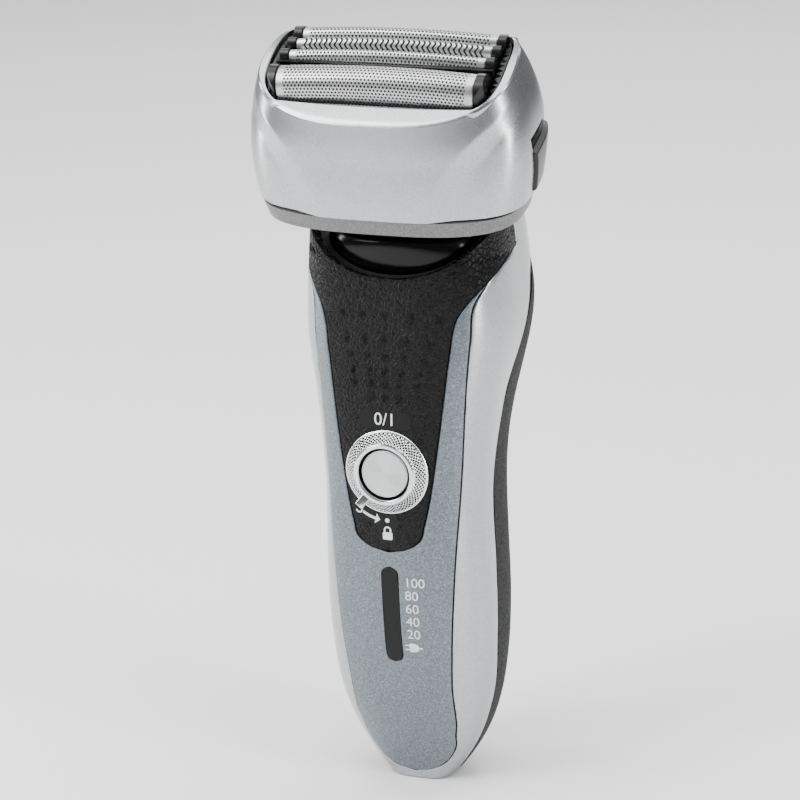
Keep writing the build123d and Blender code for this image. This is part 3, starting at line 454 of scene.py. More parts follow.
def slitGroup():
    # Rows of S-shaped slits over a blade's own flat coordinates.
    tree, given, made = group(
        "bladeSlits",
        {"Pitch": 1 / cutPattern["slitPitch"], "Share": cutPattern["slitShare"]},
        {"Slit": "NodeSocketFloat"},
    )
    place = node(tree, "ShaderNodeUVMap", uv_map="sheet")
    parts = node(tree, "ShaderNodeSeparateXYZ")
    tree.links.new(place.outputs["UV"], parts.inputs[0])
    swing = node(tree, "ShaderNodeMath", operation="MULTIPLY")
    swing.inputs[1].default_value = 2 * math.pi / cutPattern["waveLength"]
    tree.links.new(parts.outputs[1], swing.inputs[0])
    wave = node(tree, "ShaderNodeMath", operation="SINE")
    tree.links.new(swing.outputs[0], wave.inputs[0])
    bent = node(tree, "ShaderNodeMath", operation="MULTIPLY_ADD")
    bent.inputs[1].default_value = cutPattern["waveSwing"]
    tree.links.new(wave.outputs[0], bent.inputs[0])
    tree.links.new(parts.outputs[0], bent.inputs[2])
    scaled = node(tree, "ShaderNodeMath", operation="MULTIPLY")
    tree.links.new(bent.outputs[0], scaled.inputs[0])
    tree.links.new(given.outputs["Pitch"], scaled.inputs[1])
    triangle = node(tree, "ShaderNodeMath", operation="PINGPONG")
    triangle.inputs[1].default_value = 0.5
    tree.links.new(scaled.outputs[0], triangle.inputs[0])
    inside = node(tree, "ShaderNodeMath", operation="SUBTRACT")
    half = node(tree, "ShaderNodeMath", operation="MULTIPLY")
    half.inputs[1].default_value = 0.5
    tree.links.new(given.outputs["Share"], half.inputs[0])
    tree.links.new(half.outputs[0], inside.inputs[0])
    tree.links.new(triangle.outputs[0], inside.inputs[1])
    edge = node(tree, "ShaderNodeMapRange", interpolation_type="SMOOTHSTEP")
    edge.inputs["From Min"].default_value = -0.03
    edge.inputs["From Max"].default_value = 0.03
    tree.links.new(inside.outputs[0], edge.inputs["Value"])
    tree.links.new(bandMask(tree, parts, edge.outputs["Result"]), made.inputs["Slit"])
    return tree


groups = {
    "grain": grainGroup(),
    "wear": wearGroup(),
    "flakes": flakeGroup(),
    "holes": perforationGroup(),
    "slits": slitGroup(),
}


def useGroup(tree, name, **values):
    made = node(tree, "ShaderNodeGroup", node_tree=groups[name])
    for key, value in values.items():
        made.inputs[key].default_value = value
    return made


def plainFinish(name, colour, low, high, metallic=0.0, waviness=0.05, darker=0.85, shine=0.5):
    # A moulded or ground surface with uneven gloss and tone.
    material, tree, shader = nodeTree(name)
    wear = useGroup(tree, "wear", Low=low, High=high, Waviness=waviness)
    tone = node(tree, "ShaderNodeMix", data_type="RGBA")
    tone.inputs["A"].default_value = (*[c * darker for c in colour], 1)
    tone.inputs["B"].default_value = (*colour, 1)
    tree.links.new(wear.outputs["Mask"], tone.inputs["Factor"])
    tree.links.new(tone.outputs["Result"], shader.inputs["Base Color"])
    tree.links.new(wear.outputs["Roughness"], shader.inputs["Roughness"])
    tree.links.new(wear.outputs["Normal"], shader.inputs["Normal"])
    shader.inputs["Metallic"].default_value = metallic
    shader.inputs["Specular IOR Level"].default_value = shine
    return material


def lacquer(name, dark, light, roughness, metallic=0.75, coat=0.6, specks=0.25):
    # Metallic lacquer with flakes under a clear coat.
    material, tree, shader = nodeTree(name)
    flakes = useGroup(tree, "flakes")
    wear = useGroup(tree, "wear", Low=roughness - 0.04, High=roughness + 0.06, Waviness=0.03)
    tone = node(tree, "ShaderNodeMix", data_type="RGBA")
    tone.inputs["A"].default_value = (*dark, 1)
    tone.inputs["B"].default_value = (*light, 1)
    tree.links.new(flakes.outputs["Mottle"], tone.inputs["Factor"])
    lift = node(tree, "ShaderNodeMix", data_type="RGBA", blend_type="ADD")
    amount = node(tree, "ShaderNodeMath", operation="MULTIPLY")
    amount.inputs[1].default_value = specks
    tree.links.new(flakes.outputs["Specks"], amount.inputs[0])
    tree.links.new(amount.outputs[0], lift.inputs["Factor"])
    tree.links.new(tone.outputs["Result"], lift.inputs["A"])
    lift.inputs["B"].default_value = (*light, 1)
    tree.links.new(lift.outputs["Result"], shader.inputs["Base Color"])
    tree.links.new(wear.outputs["Roughness"], shader.inputs["Roughness"])
    shader.inputs["Metallic"].default_value = metallic
    shader.inputs["Coat Weight"].default_value = coat
    shader.inputs["Coat Roughness"].default_value = 0.08
    return material


def rubberWithPaintedCreaseShade(name, colour, scale, strength, low, high):
    # Matt rubber, rougher down in its creases, with painted shade that darkens them.
    material, tree, shader = nodeTree(name)
    grain = useGroup(tree, "grain", Scale=scale, Strength=strength)
    spread = node(tree, "ShaderNodeMapRange")
    spread.inputs["To Min"].default_value = high
    spread.inputs["To Max"].default_value = low
    tree.links.new(grain.outputs["Height"], spread.inputs["Value"])
    # Painted shade: the colour drops to half down in the grain's creases.
    tone = node(tree, "ShaderNodeMix", data_type="RGBA")
    tone.inputs["A"].default_value = (*[c * 0.5 for c in colour], 1)
    tone.inputs["B"].default_value = (*colour, 1)
    tree.links.new(grain.outputs["Height"], tone.inputs["Factor"])
    tree.links.new(tone.outputs["Result"], shader.inputs["Base Color"])
    tree.links.new(spread.outputs["Result"], shader.inputs["Roughness"])
    tree.links.new(grain.outputs["Normal"], shader.inputs["Normal"])
    shader.inputs["Specular IOR Level"].default_value = 0.18
    return material


def foilWithPaintedHoleShade(name, pattern="holes", output="Hole"):
    # Bright steel that is dark and dull where the pattern cuts it: the dark is painted shade of the head's
    # inside seen through the cuts.
    material, tree, shader = nodeTree(name)
    holes = useGroup(tree, pattern)
    wear = useGroup(tree, "wear", Low=0.24, High=0.38, Waviness=0.04)
    # Painted shade: near black where the holes or slits are, standing in for the shaded inside behind them.
    tone = node(tree, "ShaderNodeMix", data_type="RGBA")
    tone.inputs["A"].default_value = (0.5, 0.505, 0.51, 1)
    tone.inputs["B"].default_value = (0.012, 0.012, 0.013, 1)
    tree.links.new(holes.outputs[output], tone.inputs["Factor"])
    tree.links.new(tone.outputs["Result"], shader.inputs["Base Color"])
    solid = node(tree, "ShaderNodeMath", operation="SUBTRACT")
    solid.inputs[0].default_value = 1.0
    tree.links.new(holes.outputs[output], solid.inputs[1])
    tree.links.new(solid.outputs[0], shader.inputs["Metallic"])
    rough = node(tree, "ShaderNodeMath", operation="MAXIMUM")
    tree.links.new(wear.outputs["Roughness"], rough.inputs[0])
    tree.links.new(holes.outputs[output], rough.inputs[1])
    tree.links.new(rough.outputs[0], shader.inputs["Roughness"])
    return material


def knurlWithPaintedPitShade(name):
    # Bright metal with painted shade, near black, down in the pits of its knurl.
    material, tree, shader = nodeTree(name)
    wear = useGroup(tree, "wear", Low=0.12, High=0.24, Waviness=0.02)
    # Painted shade: the pit mask blends the bright metal down to near black.
    pits = node(tree, "ShaderNodeAttribute", attribute_name="pitDepthAndShade")
    tone = node(tree, "ShaderNodeMix", data_type="RGBA")
    tone.inputs["A"].default_value = (0.72, 0.73, 0.74, 1)
    tone.inputs["B"].default_value = (0.05, 0.05, 0.052, 1)
    tree.links.new(pits.outputs["Fac"], tone.inputs["Factor"])
    tree.links.new(tone.outputs["Result"], shader.inputs["Base Color"])
    tree.links.new(wear.outputs["Roughness"], shader.inputs["Roughness"])
    shader.inputs["Metallic"].default_value = 1.0
    return material


def turnedFinish(name):
    # A turned metal face with fine rings round the switch's axis.
    material, tree, shader = nodeTree(name)
    place = node(tree, "ShaderNodeTexCoord")
    centre = node(tree, "ShaderNodeMapping")
    centre.inputs["Location"].default_value = (0.0, 0.0, -switchHeight * mm)
    tree.links.new(place.outputs["Object"], centre.inputs["Vector"])
    parts = node(tree, "ShaderNodeSeparateXYZ")
    tree.links.new(centre.outputs["Vector"], parts.inputs[0])
    flat = node(tree, "ShaderNodeCombineXYZ")
    tree.links.new(parts.outputs[0], flat.inputs[0])
    tree.links.new(parts.outputs[2], flat.inputs[1])
    away = node(tree, "ShaderNodeVectorMath", operation="LENGTH")
    tree.links.new(flat.outputs[0], away.inputs[0])
    rings = node(tree, "ShaderNodeTexNoise", noise_dimensions="1D")
    rings.inputs["Scale"].default_value = 9000.0
    tree.links.new(away.outputs["Value"], rings.inputs["W"])
    tone = node(tree, "ShaderNodeMix", data_type="RGBA")
    tone.inputs["A"].default_value = (0.42, 0.43, 0.44, 1)
    tone.inputs["B"].default_value = (0.66, 0.67, 0.68, 1)
    tree.links.new(rings.outputs["Fac"], tone.inputs["Factor"])
    tree.links.new(tone.outputs["Result"], shader.inputs["Base Color"])
    rough = node(tree, "ShaderNodeMapRange")
    rough.inputs["To Min"].default_value = 0.2
    rough.inputs["To Max"].default_value = 0.4
    tree.links.new(rings.outputs["Fac"], rough.inputs["Value"])
    tree.links.new(rough.outputs["Result"], shader.inputs["Roughness"])
    turned = node(tree, "ShaderNodeTangent", direction_type="RADIAL", axis="Y")
    tree.links.new(turned.outputs["Tangent"], shader.inputs["Tangent"])
    shader.inputs["Metallic"].default_value = 1.0
    shader.inputs["Anisotropic"].default_value = 0.85
    return material


materials = {
    "satin_silver": lacquer(
        "satin_silver", (0.36, 0.37, 0.38), (0.44, 0.45, 0.46), 0.25, metallic=0.95, coat=0.25, specks=0.06
    ),
    "side_silver": lacquer(
        "side_silver", (0.33, 0.34, 0.35), (0.43, 0.44, 0.45), 0.23, metallic=0.95, coat=0.3, specks=0.08
    ),
    "panel_blue_grey": lacquer(
        "panel_blue_grey", (0.085, 0.1, 0.112), (0.17, 0.195, 0.215), 0.32, metallic=0.9, coat=0.35, specks=0.45
    ),
    "grip_rubber": rubberWithPaintedCreaseShade("grip_rubber", (0.003, 0.0031, 0.0034), 900.0, 1.0, 0.32, 0.55),
    "back_rubber": rubberWithPaintedCreaseShade("back_rubber", (0.003, 0.0031, 0.0034), 1500.0, 0.6, 0.55, 0.75),
    "gloss_black": plainFinish("gloss_black", (0.002, 0.0021, 0.0023), 0.12, 0.22, waviness=0.02, shine=0.22),
    "dark_grey": lacquer(
        "dark_grey", (0.10, 0.10, 0.10), (0.17, 0.17, 0.17), 0.42, metallic=0.4, coat=0.0, specks=0.3
    ),
    "black_plastic": plainFinish("black_plastic", (0.0025, 0.0027, 0.003), 0.2, 0.34, shine=0.35),
    "foil_steel": foilWithPaintedHoleShade("foil_steel"),
    "slitSteel": foilWithPaintedHoleShade("slitSteel", "slits", "Slit"),
    "blade_steel": plainFinish("blade_steel", (0.62, 0.63, 0.64), 0.2, 0.34, metallic=1.0, waviness=0.1),
    "ring_metal": knurlWithPaintedPitShade("ring_metal"),
    "button_metal": turnedFinish("button_metal"),
    "window_clear": plainFinish("window_clear", (0.002, 0.0022, 0.0024), 0.3, 0.4, shine=0.22),
    "housing_plastic": plainFinish("housing_plastic", (0.03, 0.032, 0.035), 0.4, 0.55),
    "board_green": plainFinish("board_green", (0.02, 0.12, 0.06), 0.35, 0.5),
    "battery_wrap": plainFinish("battery_wrap", (0.10, 0.20, 0.32), 0.25, 0.35),
    "contact_metal": plainFinish("contact_metal", (0.75, 0.55, 0.25), 0.2, 0.3, metallic=1.0),
    "pin_steel": plainFinish("pin_steel", (0.6, 0.61, 0.62), 0.18, 0.3, metallic=1.0),
    "coil_copper": plainFinish("coil_copper", (0.72, 0.35, 0.18), 0.3, 0.4, metallic=1.0),
    "print_white": plainFinish("print_white", (0.78, 0.80, 0.81), 0.4, 0.5),
}

slots = {part["node"]: part["material_slot"] for part in frame["record"]["subparts"]}
for name, cadNode in frame["nodes"].items():
    cadNode.data.materials.clear()
    cadNode.data.materials.append(materials[slots[name]])
print("materials ready")


def rollOff(distance, radius):
    # How far a rounded edge has dropped at a distance from the edge.
    inside = np.clip(radius - distance, 0, radius)
    return radius - np.sqrt(np.maximum(radius**2 - inside**2, 0))


def rimRows(v, low, point, steps=6):
    # Heights spread from low up to the handle's rim, found again a few times as the wall leans.
    z = low + v * (handle["rimHeight"] - low)
    for _ in range(steps):
        found = point(z)
        z = low + v * (rimHeight(found[:, 0], found[:, 1]) - low)
    return z


grip = {
    "low": 59.6,
    "columns": 150,
    "rows": 260,
    "edgeRound": 0.5,
    "height": 60.0,  # roughly, for the rounding along the top
    "rowCrowding": 1.25,  # above 1 it gathers rows towards the foot
    "footSlope": 0.8,
    "dimpleDepth": 0.42,
    "dimpleHalf": (0.62, 1.0),  # across and up
    "dimpleSharpness": 1.4,
    "dimpleRows": [
        (112.0, (-9.7, -5.1, 0.1, 5.9, 11.8)),
        (106.8, (-8.6, -4.4, 0.1, 4.9, 9.9)),
        (103.1, (-7.8, -3.9, 0.1, 4.3, 8.6)),
        (99.8, (-7.2, -3.5, 0.1, 3.8, 7.7)),
        (97.2, (-6.8, -3.1, 0.1, 3.3, 7.1)),
        (94.1, (-3.0, 0.1, 3.2)),
    ],
}


def placeGrip(u, v):
    side = 2 * edgeSpread(u) - 1
    v = v ** grip["rowCrowding"]

    def halfAt(z):
        return np.maximum(gripHalf(z) - handle["skinGap"], 0.0)

    def point(z):
        return wallPoint(z, shareAtX(z, halfAt(z)) * side)

    z = rimRows(v, grip["low"] + handle["skinGap"], point)
    half = halfAt(z)
    s = shareAtX(z, half) * side
    found = wallPoint(z, s)
    normal = wallNormal(z, s)
    edge = np.minimum((1 - np.abs(side)) * half, (1 - v) * grip["height"])
    edge = np.minimum(edge, (z - grip["low"]) * grip["footSlope"])
    drop = rollOff(edge, grip["edgeRound"])
    halfAcross, halfUp = grip["dimpleHalf"]
    for height, spots in grip["dimpleRows"]:
        for x in spots:
            near = ((found[:, 0] - x) / halfAcross) ** 2 + ((found[:, 2] - height) / halfUp) ** 2
            drop = drop + grip["dimpleDepth"] * np.exp(-near * grip["dimpleSharpness"])
    return found - normal * drop[:, None], normal


gripMesh = gridPatch(grip["columns"], grip["rows"], placeGrip, handle["skinThickness"])
frontGrip = finish("frontGripSkin", gripMesh, "handle", "grip_rubber")
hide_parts("front_grip")

panel = {
    "low": 2.2,
    "top": 118.6,
    "columns": 44,
    "rows": 360,
    "rowCrowding": (0.14, 2.2),  # share and power of the part that gathers rows towards the foot
    "edgeRound": 0.3,
    "footSlope": 0.8,
    "windowCentre": 44.5,
    "windowLength": 22.8,
    "windowWidth": 3.7,
}
farEdge = 9.0  # an edge too far off to round anything


def windowHalf(z):
    # Half width of the lamp window's opening at height z.
    radius = panel["windowWidth"] / 2
    straight = panel["windowLength"] / 2 - radius
    beyond = np.clip(np.abs(z - panel["windowCentre"]) - straight, 0, None)
    return np.sqrt(np.clip(radius**2 - beyond**2, 0, None))


def placePanel(u, v):
    # The right half of the panel, from its inner edge at the grip, window or middle to its outer edge.
    u = edgeSpread(u)
    crowd, power = panel["rowCrowding"]
    z = panel["low"] + (panel["top"] - panel["low"]) * ((1 - crowd) * v + crowd * v**power)
    outer = np.maximum(panelHalf(z) - handle["skinGap"], 0.0)
    hole = windowHalf(z)
    bare = np.where(hole > 0, hole + handle["seamGap"], 0.0)
    inner = np.where(z > grip["low"], np.minimum(gripHalf(z) + handle["seamGap"], outer), bare)
    a = shareAtX(z, np.minimum(inner, outer))
    b = shareAtX(z, outer)
    s = a + (b - a) * u
    found = wallPoint(z, s)
    normal = wallNormal(z, s)
    width = outer - inner
    edge = np.minimum((1 - u) * width, np.where(inner > 0, u * width, farEdge))
    edge = np.minimum(edge, (z - panel["low"]) * panel["footSlope"])
    return found - normal * rollOff(edge, panel["edgeRound"])[:, None], normal


def everything(mesh):
    return mesh.verts[:] + mesh.edges[:] + mesh.faces[:]


def bothSides(mesh):
    # Adds the mirror image across the middle plane and joins the seam.
    bmesh.ops.mirror(mesh, geom=everything(mesh), matrix=Matrix(), merge_dist=0.01 * mm, axis="X")
    bmesh.ops.remove_doubles(mesh, verts=mesh.verts[:], dist=0.004 * mm)
    return mesh


panelMesh = bothSides(gridPatch(panel["columns"], panel["rows"], placePanel, handle["skinThickness"]))
panelSkin = finish("frontPanelSkin", panelMesh, "handle", "panel_blue_grey")
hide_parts("front_panel")

sideShell = {
    "low": 2.2,
    "columns": 60,
    "rows": 220,
    "edgeRound": 0.35,
    "height": 100.0,  # roughly, for the rounding along the top
    "panelTop": 118.4,  # above it the shell meets the grip and not the panel
}


def placeSide(u, v):
    u = edgeSpread(u)

    def ends(z):
        front = np.where(z > sideShell["panelTop"], gripHalf(z), panelHalf(z))
        a = shareAtX(z, np.maximum(front + handle["seamGap"], 0))
        b = shareAtY(z, smoothValue(backCurve, z)[:, 0] - handle["seamGap"])
        return a, np.maximum(b, a)

    def point(z):
        a, b = ends(z)
        return wallPoint(z, a + (b - a) * u)

    z = rimRows(v, sideShell["low"], point)
    a, b = ends(z)
    s = a + (b - a) * u
    found = wallPoint(z, s)
    normal = wallNormal(z, s)
    width = (b - a) * handle["arcLength"]
    edge = np.minimum((1 - u) * width, u * width)
    edge = np.minimum(edge, (1 - v) * sideShell["height"])
    return found - normal * rollOff(edge, sideShell["edgeRound"])[:, None], normal


base = {
    "columns": 160,
    "rows": 10,
    "roundShare": 0.25,  # of the ring's height that its lower edge is rounded over
    "roundDepth": 0.5,
    "holeHalf": 5.8,
    "holeSquash": 0.69,
}


def placeBase(u, v):
    # The silver ring at the foot: the lower half of the rows rounds its edge.
    s = 2 * u - 1
    low = v <= 0.5
    under = np.clip(v * 2, 0, 1)
    share = base["roundShare"]
    above = share + (1 - share) * (v - 0.5) * 2
    z = handle["baseRing"] * np.where(low, share * under**2, above)
    found = wallPoint(np.maximum(z, 0.0), s)
    normal = wallNormal(np.maximum(z, 0.25), s)
    inward = np.where(low, base["roundDepth"] * (1 - under) ** 2, 0.0)
    return found - normal * inward[:, None], normal


sideMesh = bothSides(gridPatch(sideShell["columns"], sideShell["rows"], placeSide, handle["skinThickness"]))
baseMesh = gridPatch(base["columns"], base["rows"], placeBase)
bmesh.ops.remove_doubles(baseMesh, verts=baseMesh.verts[:], dist=0.004 * mm)
baseData = bpy.data.meshes.new("baseRing")
outerEdges = [edge for edge in baseMesh.edges if edge.is_boundary]
foot = [edge for edge in outerEdges if max(vert.co.z for vert in edge.verts) < 0.4 * mm]
squash = Matrix.Diagonal((1.0, base["holeSquash"], 1.0, 1.0))
bmesh.ops.create_circle(baseMesh, segments=base["columns"], radius=base["holeHalf"] * mm, matrix=squash)


def onHole(vert):
    return abs(vert.co.z) < 1e-7 and vert.co.xy.length < (base["holeHalf"] + 0.4) * mm


ringEdges = [edge for edge in baseMesh.edges if edge.is_boundary and all(onHole(vert) for vert in edge.verts)]
bmesh.ops.bridge_loops(baseMesh, edges=foot + ringEdges)
baseMesh.to_mesh(baseData)
baseMesh.free()
sideMesh.from_mesh(baseData)
bpy.data.meshes.remove(baseData)
sideSkin = finish("sideFrameSkin", sideMesh, "handle", "side_silver")
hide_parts("side_frame")
print("handle skins ready")

# The head frame, in the head's own plane: d runs back and h up from its origin.
head = {
    "lean": 22.0,
    "origin": (0.0, -15.2, 167.0),
    "sections": [
        (-38.0, 26.5, -22.5, 10.0, 3.0),
        (-28.5, 29.6, -23.6, 12.0, 3.0),
        (-14.0, 31.0, -19.4, 15.8, 3.0),
        (-4.0, 28.8, -15.6, 15.8, 2.7),
        (2.0, 26.2, -13.8, 14.8, 2.6),
    ],
    "rim": (50.0, 8.0, -0.6),
    "rimBack": (9.6, 0.95),
    "opening": (25.7, -15.2, 14.2, 3.4),
    "openingFront": -12.3,
    "baseOrigin": (-8.84, 134.31),
    "baseLean": 12.0,
    "seam": 3.3,
    "thickness": 1.1,
    "columns": 340,
    "wallRows": 84,
    "topRows": 8,  # from the rim across to the opening
    "lipRows": 6,  # from there down into it
    "lipDepth": 3.2,
    "openingGap": 0.15,
    "turnSpread": 0.12,  # gathers columns towards the corners
    "edgeRound": 0.18,
    "edgeReach": 30.0,  # roughly the wall's height
    "creaseSlope": 0.24,
    "creaseDepth": 1.7,
    "crease": [
        (-40.0, 9.0), (-28.0, 11.5), (-20.0, 14.0), (-15.0, 17.2), (-11.0, 21.5), (-7.0, 27.0), (0.0, 40.0),
    ],
    "notchDepth": 6.5,
    "notchTop": -15.2,
    "notchFrom": 20.0,  # from the middle, so that front and back stay whole
}
headCurve = smoothTable(head["sections"])
creaseCurve = smoothTable(head["crease"])
leanSine = math.sin(math.radians(head["lean"]))
leanCosine = math.cos(math.radians(head["lean"]))


def headPlace(x, d, h):
    # World millimetres of a point given across, back and up in the head's own plane.
    y = head["origin"][1] + d * leanCosine - h * leanSine
    z = head["origin"][2] + d * leanSine + h * leanCosine
    return np.stack([x + 0 * y, y, z], -1)


def softRamp(distance, sharpness):
    # Nothing before the start and rising evenly after it, with a soft turn between.
    return np.log1p(np.exp(np.clip(distance * sharpness, -30, 30))) / sharpness


def rimTop(d):
    # Height of the head frame's rim at depth d: a saddle that falls away behind.
    radius, centre, top = head["rim"]
    saddle = top - radius + np.sqrt(np.maximum(radius**2 - (d - centre) ** 2, 1.0))
    start, slope = head["rimBack"]
    return saddle - softRamp(d - start, 1.6) * slope


def seamHeight(d):
    # Where the base plane's seam meets the head at depth d.
    lean = math.radians(head["baseLean"])
    back = head["origin"][1] - head["baseOrigin"][0]
    up = head["origin"][2] - head["baseOrigin"][1]
    away = up * math.cos(lean) - back * math.sin(lean)
    turn = math.radians(head["lean"] - head["baseLean"])
    return (head["seam"] - away - d * math.sin(turn)) / math.cos(turn)


def headWall(turn, h):
    half, front, back, power = np.moveaxis(smoothValue(headCurve, h), -1, 0)
    middle = (front + back) / 2
    radius = ovalRadius(turn, half, (back - front) / 2, power)
    return radius * np.cos(turn), middle + radius * np.sin(turn)


def creased(x, d, h, turn):
    # Draws the sides of the front back from the smooth shield in its middle.
    edge = smoothValue(creaseCurve, h)[..., 0]
    beyond = softRamp(np.abs(x) - edge, 5.0)
    limit = head["creaseDepth"]
    amount = limit * np.tanh(beyond * head["creaseSlope"] / limit) * np.clip(-np.sin(turn) * 1.6, 0, 1)
    return d + amount


headRows = head["wallRows"] + head["topRows"] + head["lipRows"]


def openingPoint(turn):
    # The foil opening, with its straight front edge.
    half, front, back, power = head["opening"]
    centre = (front + back) / 2
    radius = ovalRadius(turn, half, (back - front) / 2, power)
    forward = np.minimum(np.sin(turn), -0.01)
    flat = np.where(np.sin(turn) < -0.01, (head["openingFront"] - centre) / forward, 1e6)
    radius = np.minimum(radius, flat) + head["openingGap"]
    return radius * np.cos(turn), centre + radius * np.sin(turn)


def placeHead(u, v):
    # Rows climb the wall from the seam to the rim, cross to the opening and turn down into it.
    turn = 2 * math.pi * u - math.pi / 2
    turn = turn + head["turnSpread"] * np.sin(2 * turn + math.pi)
    row = np.round(v * headRows)
    climb = np.clip(row / head["wallRows"], 0, 1)
    x, d = headWall(turn, np.full_like(turn, -14.0))
    for _ in range(8):
        low = seamHeight(d)
        h = low + climb * (rimTop(d) - low)
        x, d = headWall(turn, h)
    d = creased(x, d, h, turn)
    reach = head["edgeReach"]
    inward = rollOff((1 - climb) * reach, head["edgeRound"]) + rollOff(climb * reach, head["edgeRound"])
    x = x * (1 - inward / 30)  # 30 and 18 are about the head's half width and half depth
    d = 0.5 + (d - 0.5) * (1 - inward / 18)
    holeX, holeD = openingPoint(turn)
    across = np.clip((row - head["wallRows"]) / head["topRows"], 0, 1)
    down = np.clip((row - head["wallRows"] - head["topRows"]) / head["lipRows"], 0, 1)
    x = x + (holeX - x) * across
    d = d + (holeD - d) * across
    h = np.where(across > 0, rimTop(d) - rollOff((1 - across) * 6, head["edgeRound"]), h)
    return headPlace(x, d, h - down * head["lipDepth"]), None


headMesh = gridPatch(head["columns"], headRows, placeHead)
bmesh.ops.remove_doubles(headMesh, verts=headMesh.verts[:], dist=0.002 * mm)
up = Vector((0, -leanSine, leanCosine))
backward = Vector((0, leanCosine, leanSine))
anchor = Vector(head["origin"]) * mm

# Notches in both sides for the release buttons.
for point, normal in (
    (anchor + backward * head["notchDepth"] * mm, backward),
    (anchor - backward * head["notchDepth"] * mm, backward),
    (anchor + up * head["notchTop"] * mm, up),
):
    bmesh.ops.bisect_plane(headMesh, geom=everything(headMesh), plane_co=point, plane_no=normal)
notched = []
for face in headMesh.faces:
    local = face.calc_center_median() - anchor
    between = abs(local.dot(backward)) < head["notchDepth"] * mm
    below = local.dot(up) < head["notchTop"] * mm
    if between and below and abs(local.x) > head["notchFrom"] * mm:
        notched.append(face)
bmesh.ops.delete(headMesh, geom=notched, context="FACES")
headSkin = finish("headFrameSkin", headMesh, "frame", "satin_silver", 18)
thick = headSkin.modifiers.new("wall", "SOLIDIFY")
thick.thickness = head["thickness"] * mm
thick.offset = -1
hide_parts("head_frame")

# The cassette keeps its shape, trimmed behind to the lower back of the rim.
cassetteDrop = 0.9  # under the rim
start, slope = head["rimBack"]
cassetteMesh = bmesh.new()
cassetteMesh.from_mesh(frame["nodes"]["foil_cassette"].data)
bmesh.ops.remove_doubles(cassetteMesh, verts=cassetteMesh.verts[:], dist=0.0002 * mm)
behind = (backward * slope + up).normalized()
cutAt = anchor + (backward * (start + cassetteDrop) + up * (head["rim"][2] - cassetteDrop)) * mm
cutParts = bmesh.ops.bisect_plane(
    cassetteMesh, geom=everything(cassetteMesh), plane_co=cutAt, plane_no=behind, clear_outer=True
)
cutEdges = [edge for edge in cutParts["geom_cut"] if isinstance(edge, bmesh.types.BMEdge)]
bmesh.ops.holes_fill(cassetteMesh, edges=cutEdges)
cassette = finish("foilCassetteTrimmed", cassetteMesh, "frame", "black_plastic", 30)
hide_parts("foil_cassette")
print("head frame ready")

release = {
    "halfDepth": 6.2,
    "bottom": -28.2,
    "top": -15.5,
    "step": -18.6,
    "padProud": 0.75,
    "recess": -0.7,
    "ribPitch": 0.8,
    "ribDepth": 0.16,
    "stepSharpness": 9.0,
    "edgeRound": 0.6,
    "thickness": 1.4,
}


def placeRelease(side):
    # A pad below the step and a ribbed thumb rest above it, on the head's own side wall.
    def place(u, v):
        d = release["halfDepth"] * (2 * edgeSpread(u) - 1)
        h = release["bottom"] + (release["top"] - release["bottom"]) * v
        half, front, back, power = np.moveaxis(smoothValue(headCurve, h), -1, 0)
        across = np.clip(np.abs((d - (front + back) / 2) / ((back - front) / 2)), 0, 0.98)
        x = half * (1 - across**power) ** (1 / power)
        upper = 1 / (1 + np.exp(-(h - release["step"]) * release["stepSharpness"]))
        edge = np.minimum(release["halfDepth"] - np.abs(d), np.minimum(h - release["bottom"], farEdge))
        edge = np.minimum(edge, np.where(h < release["step"], release["step"] - h + 0.25, farEdge))
        ribs = release["ribDepth"] * np.sin(2 * math.pi * h / release["ribPitch"])
        proud = release["padProud"] * (1 - upper) + (release["recess"] + ribs) * upper
        x = x + proud - rollOff(edge, release["edgeRound"])
        points = headPlace(x * side, d, h)
        return points, np.tile([side, 0.0, 0.0], (len(points), 1))

    return place


for side, word in ((-1, "left"), (1, "right")):
    padMesh = gridPatch(40, 90, placeRelease(side), release["thickness"])
    pad = finish("releasePad_" + word, padMesh, "release_" + word, "black_plastic", 30)
    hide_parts("release_button_" + word)
print("release buttons ready")

foils = {
    "halfLength": 21.8,
    "rise": 0.85,
    "archRadius": 280.0,
    "drop": 4.6,
    "leg": 7.0,
    "columns": 110,
    "bendSteps": 41,
    "thickness": 0.12,
    # body, centre, reach to the front and to the back, material
    "rows": {
        "foil_front": ("float_front", -7.6, 3.9, 3.6, "foil_steel"),
        "foil_finishing": ("float_centre", -0.9, 1.9, 1.9, "foil_steel"),
        "slit_blade": ("float_centre", 3.6, 1.75, 1.75, "slitSteel"),
        "foil_rear": ("float_rear", 7.6, 2.0, 3.3, "foil_steel"),
    },
}


def foilProfile(centre, front, back):
    # A foil's section, up one leg, over the bend and down the other, and the length along it.
    base = foils["rise"] - foils["drop"]
    bend = np.linspace(math.pi, 0, foils["bendSteps"])
    width = np.where(bend > math.pi / 2, front, back)
    d = centre + width * np.cos(bend)
    h = base + foils["drop"] * np.sin(bend)
    d = np.concatenate([[centre - front] * 3, d, [centre + back] * 3])
    h = np.concatenate([np.linspace(-foils["leg"], base, 4)[:3], h, np.linspace(base, -foils["leg"], 4)[1:]])
    length = np.concatenate([[0], np.cumsum(np.hypot(np.diff(d), np.diff(h)))])
    return d, h, length


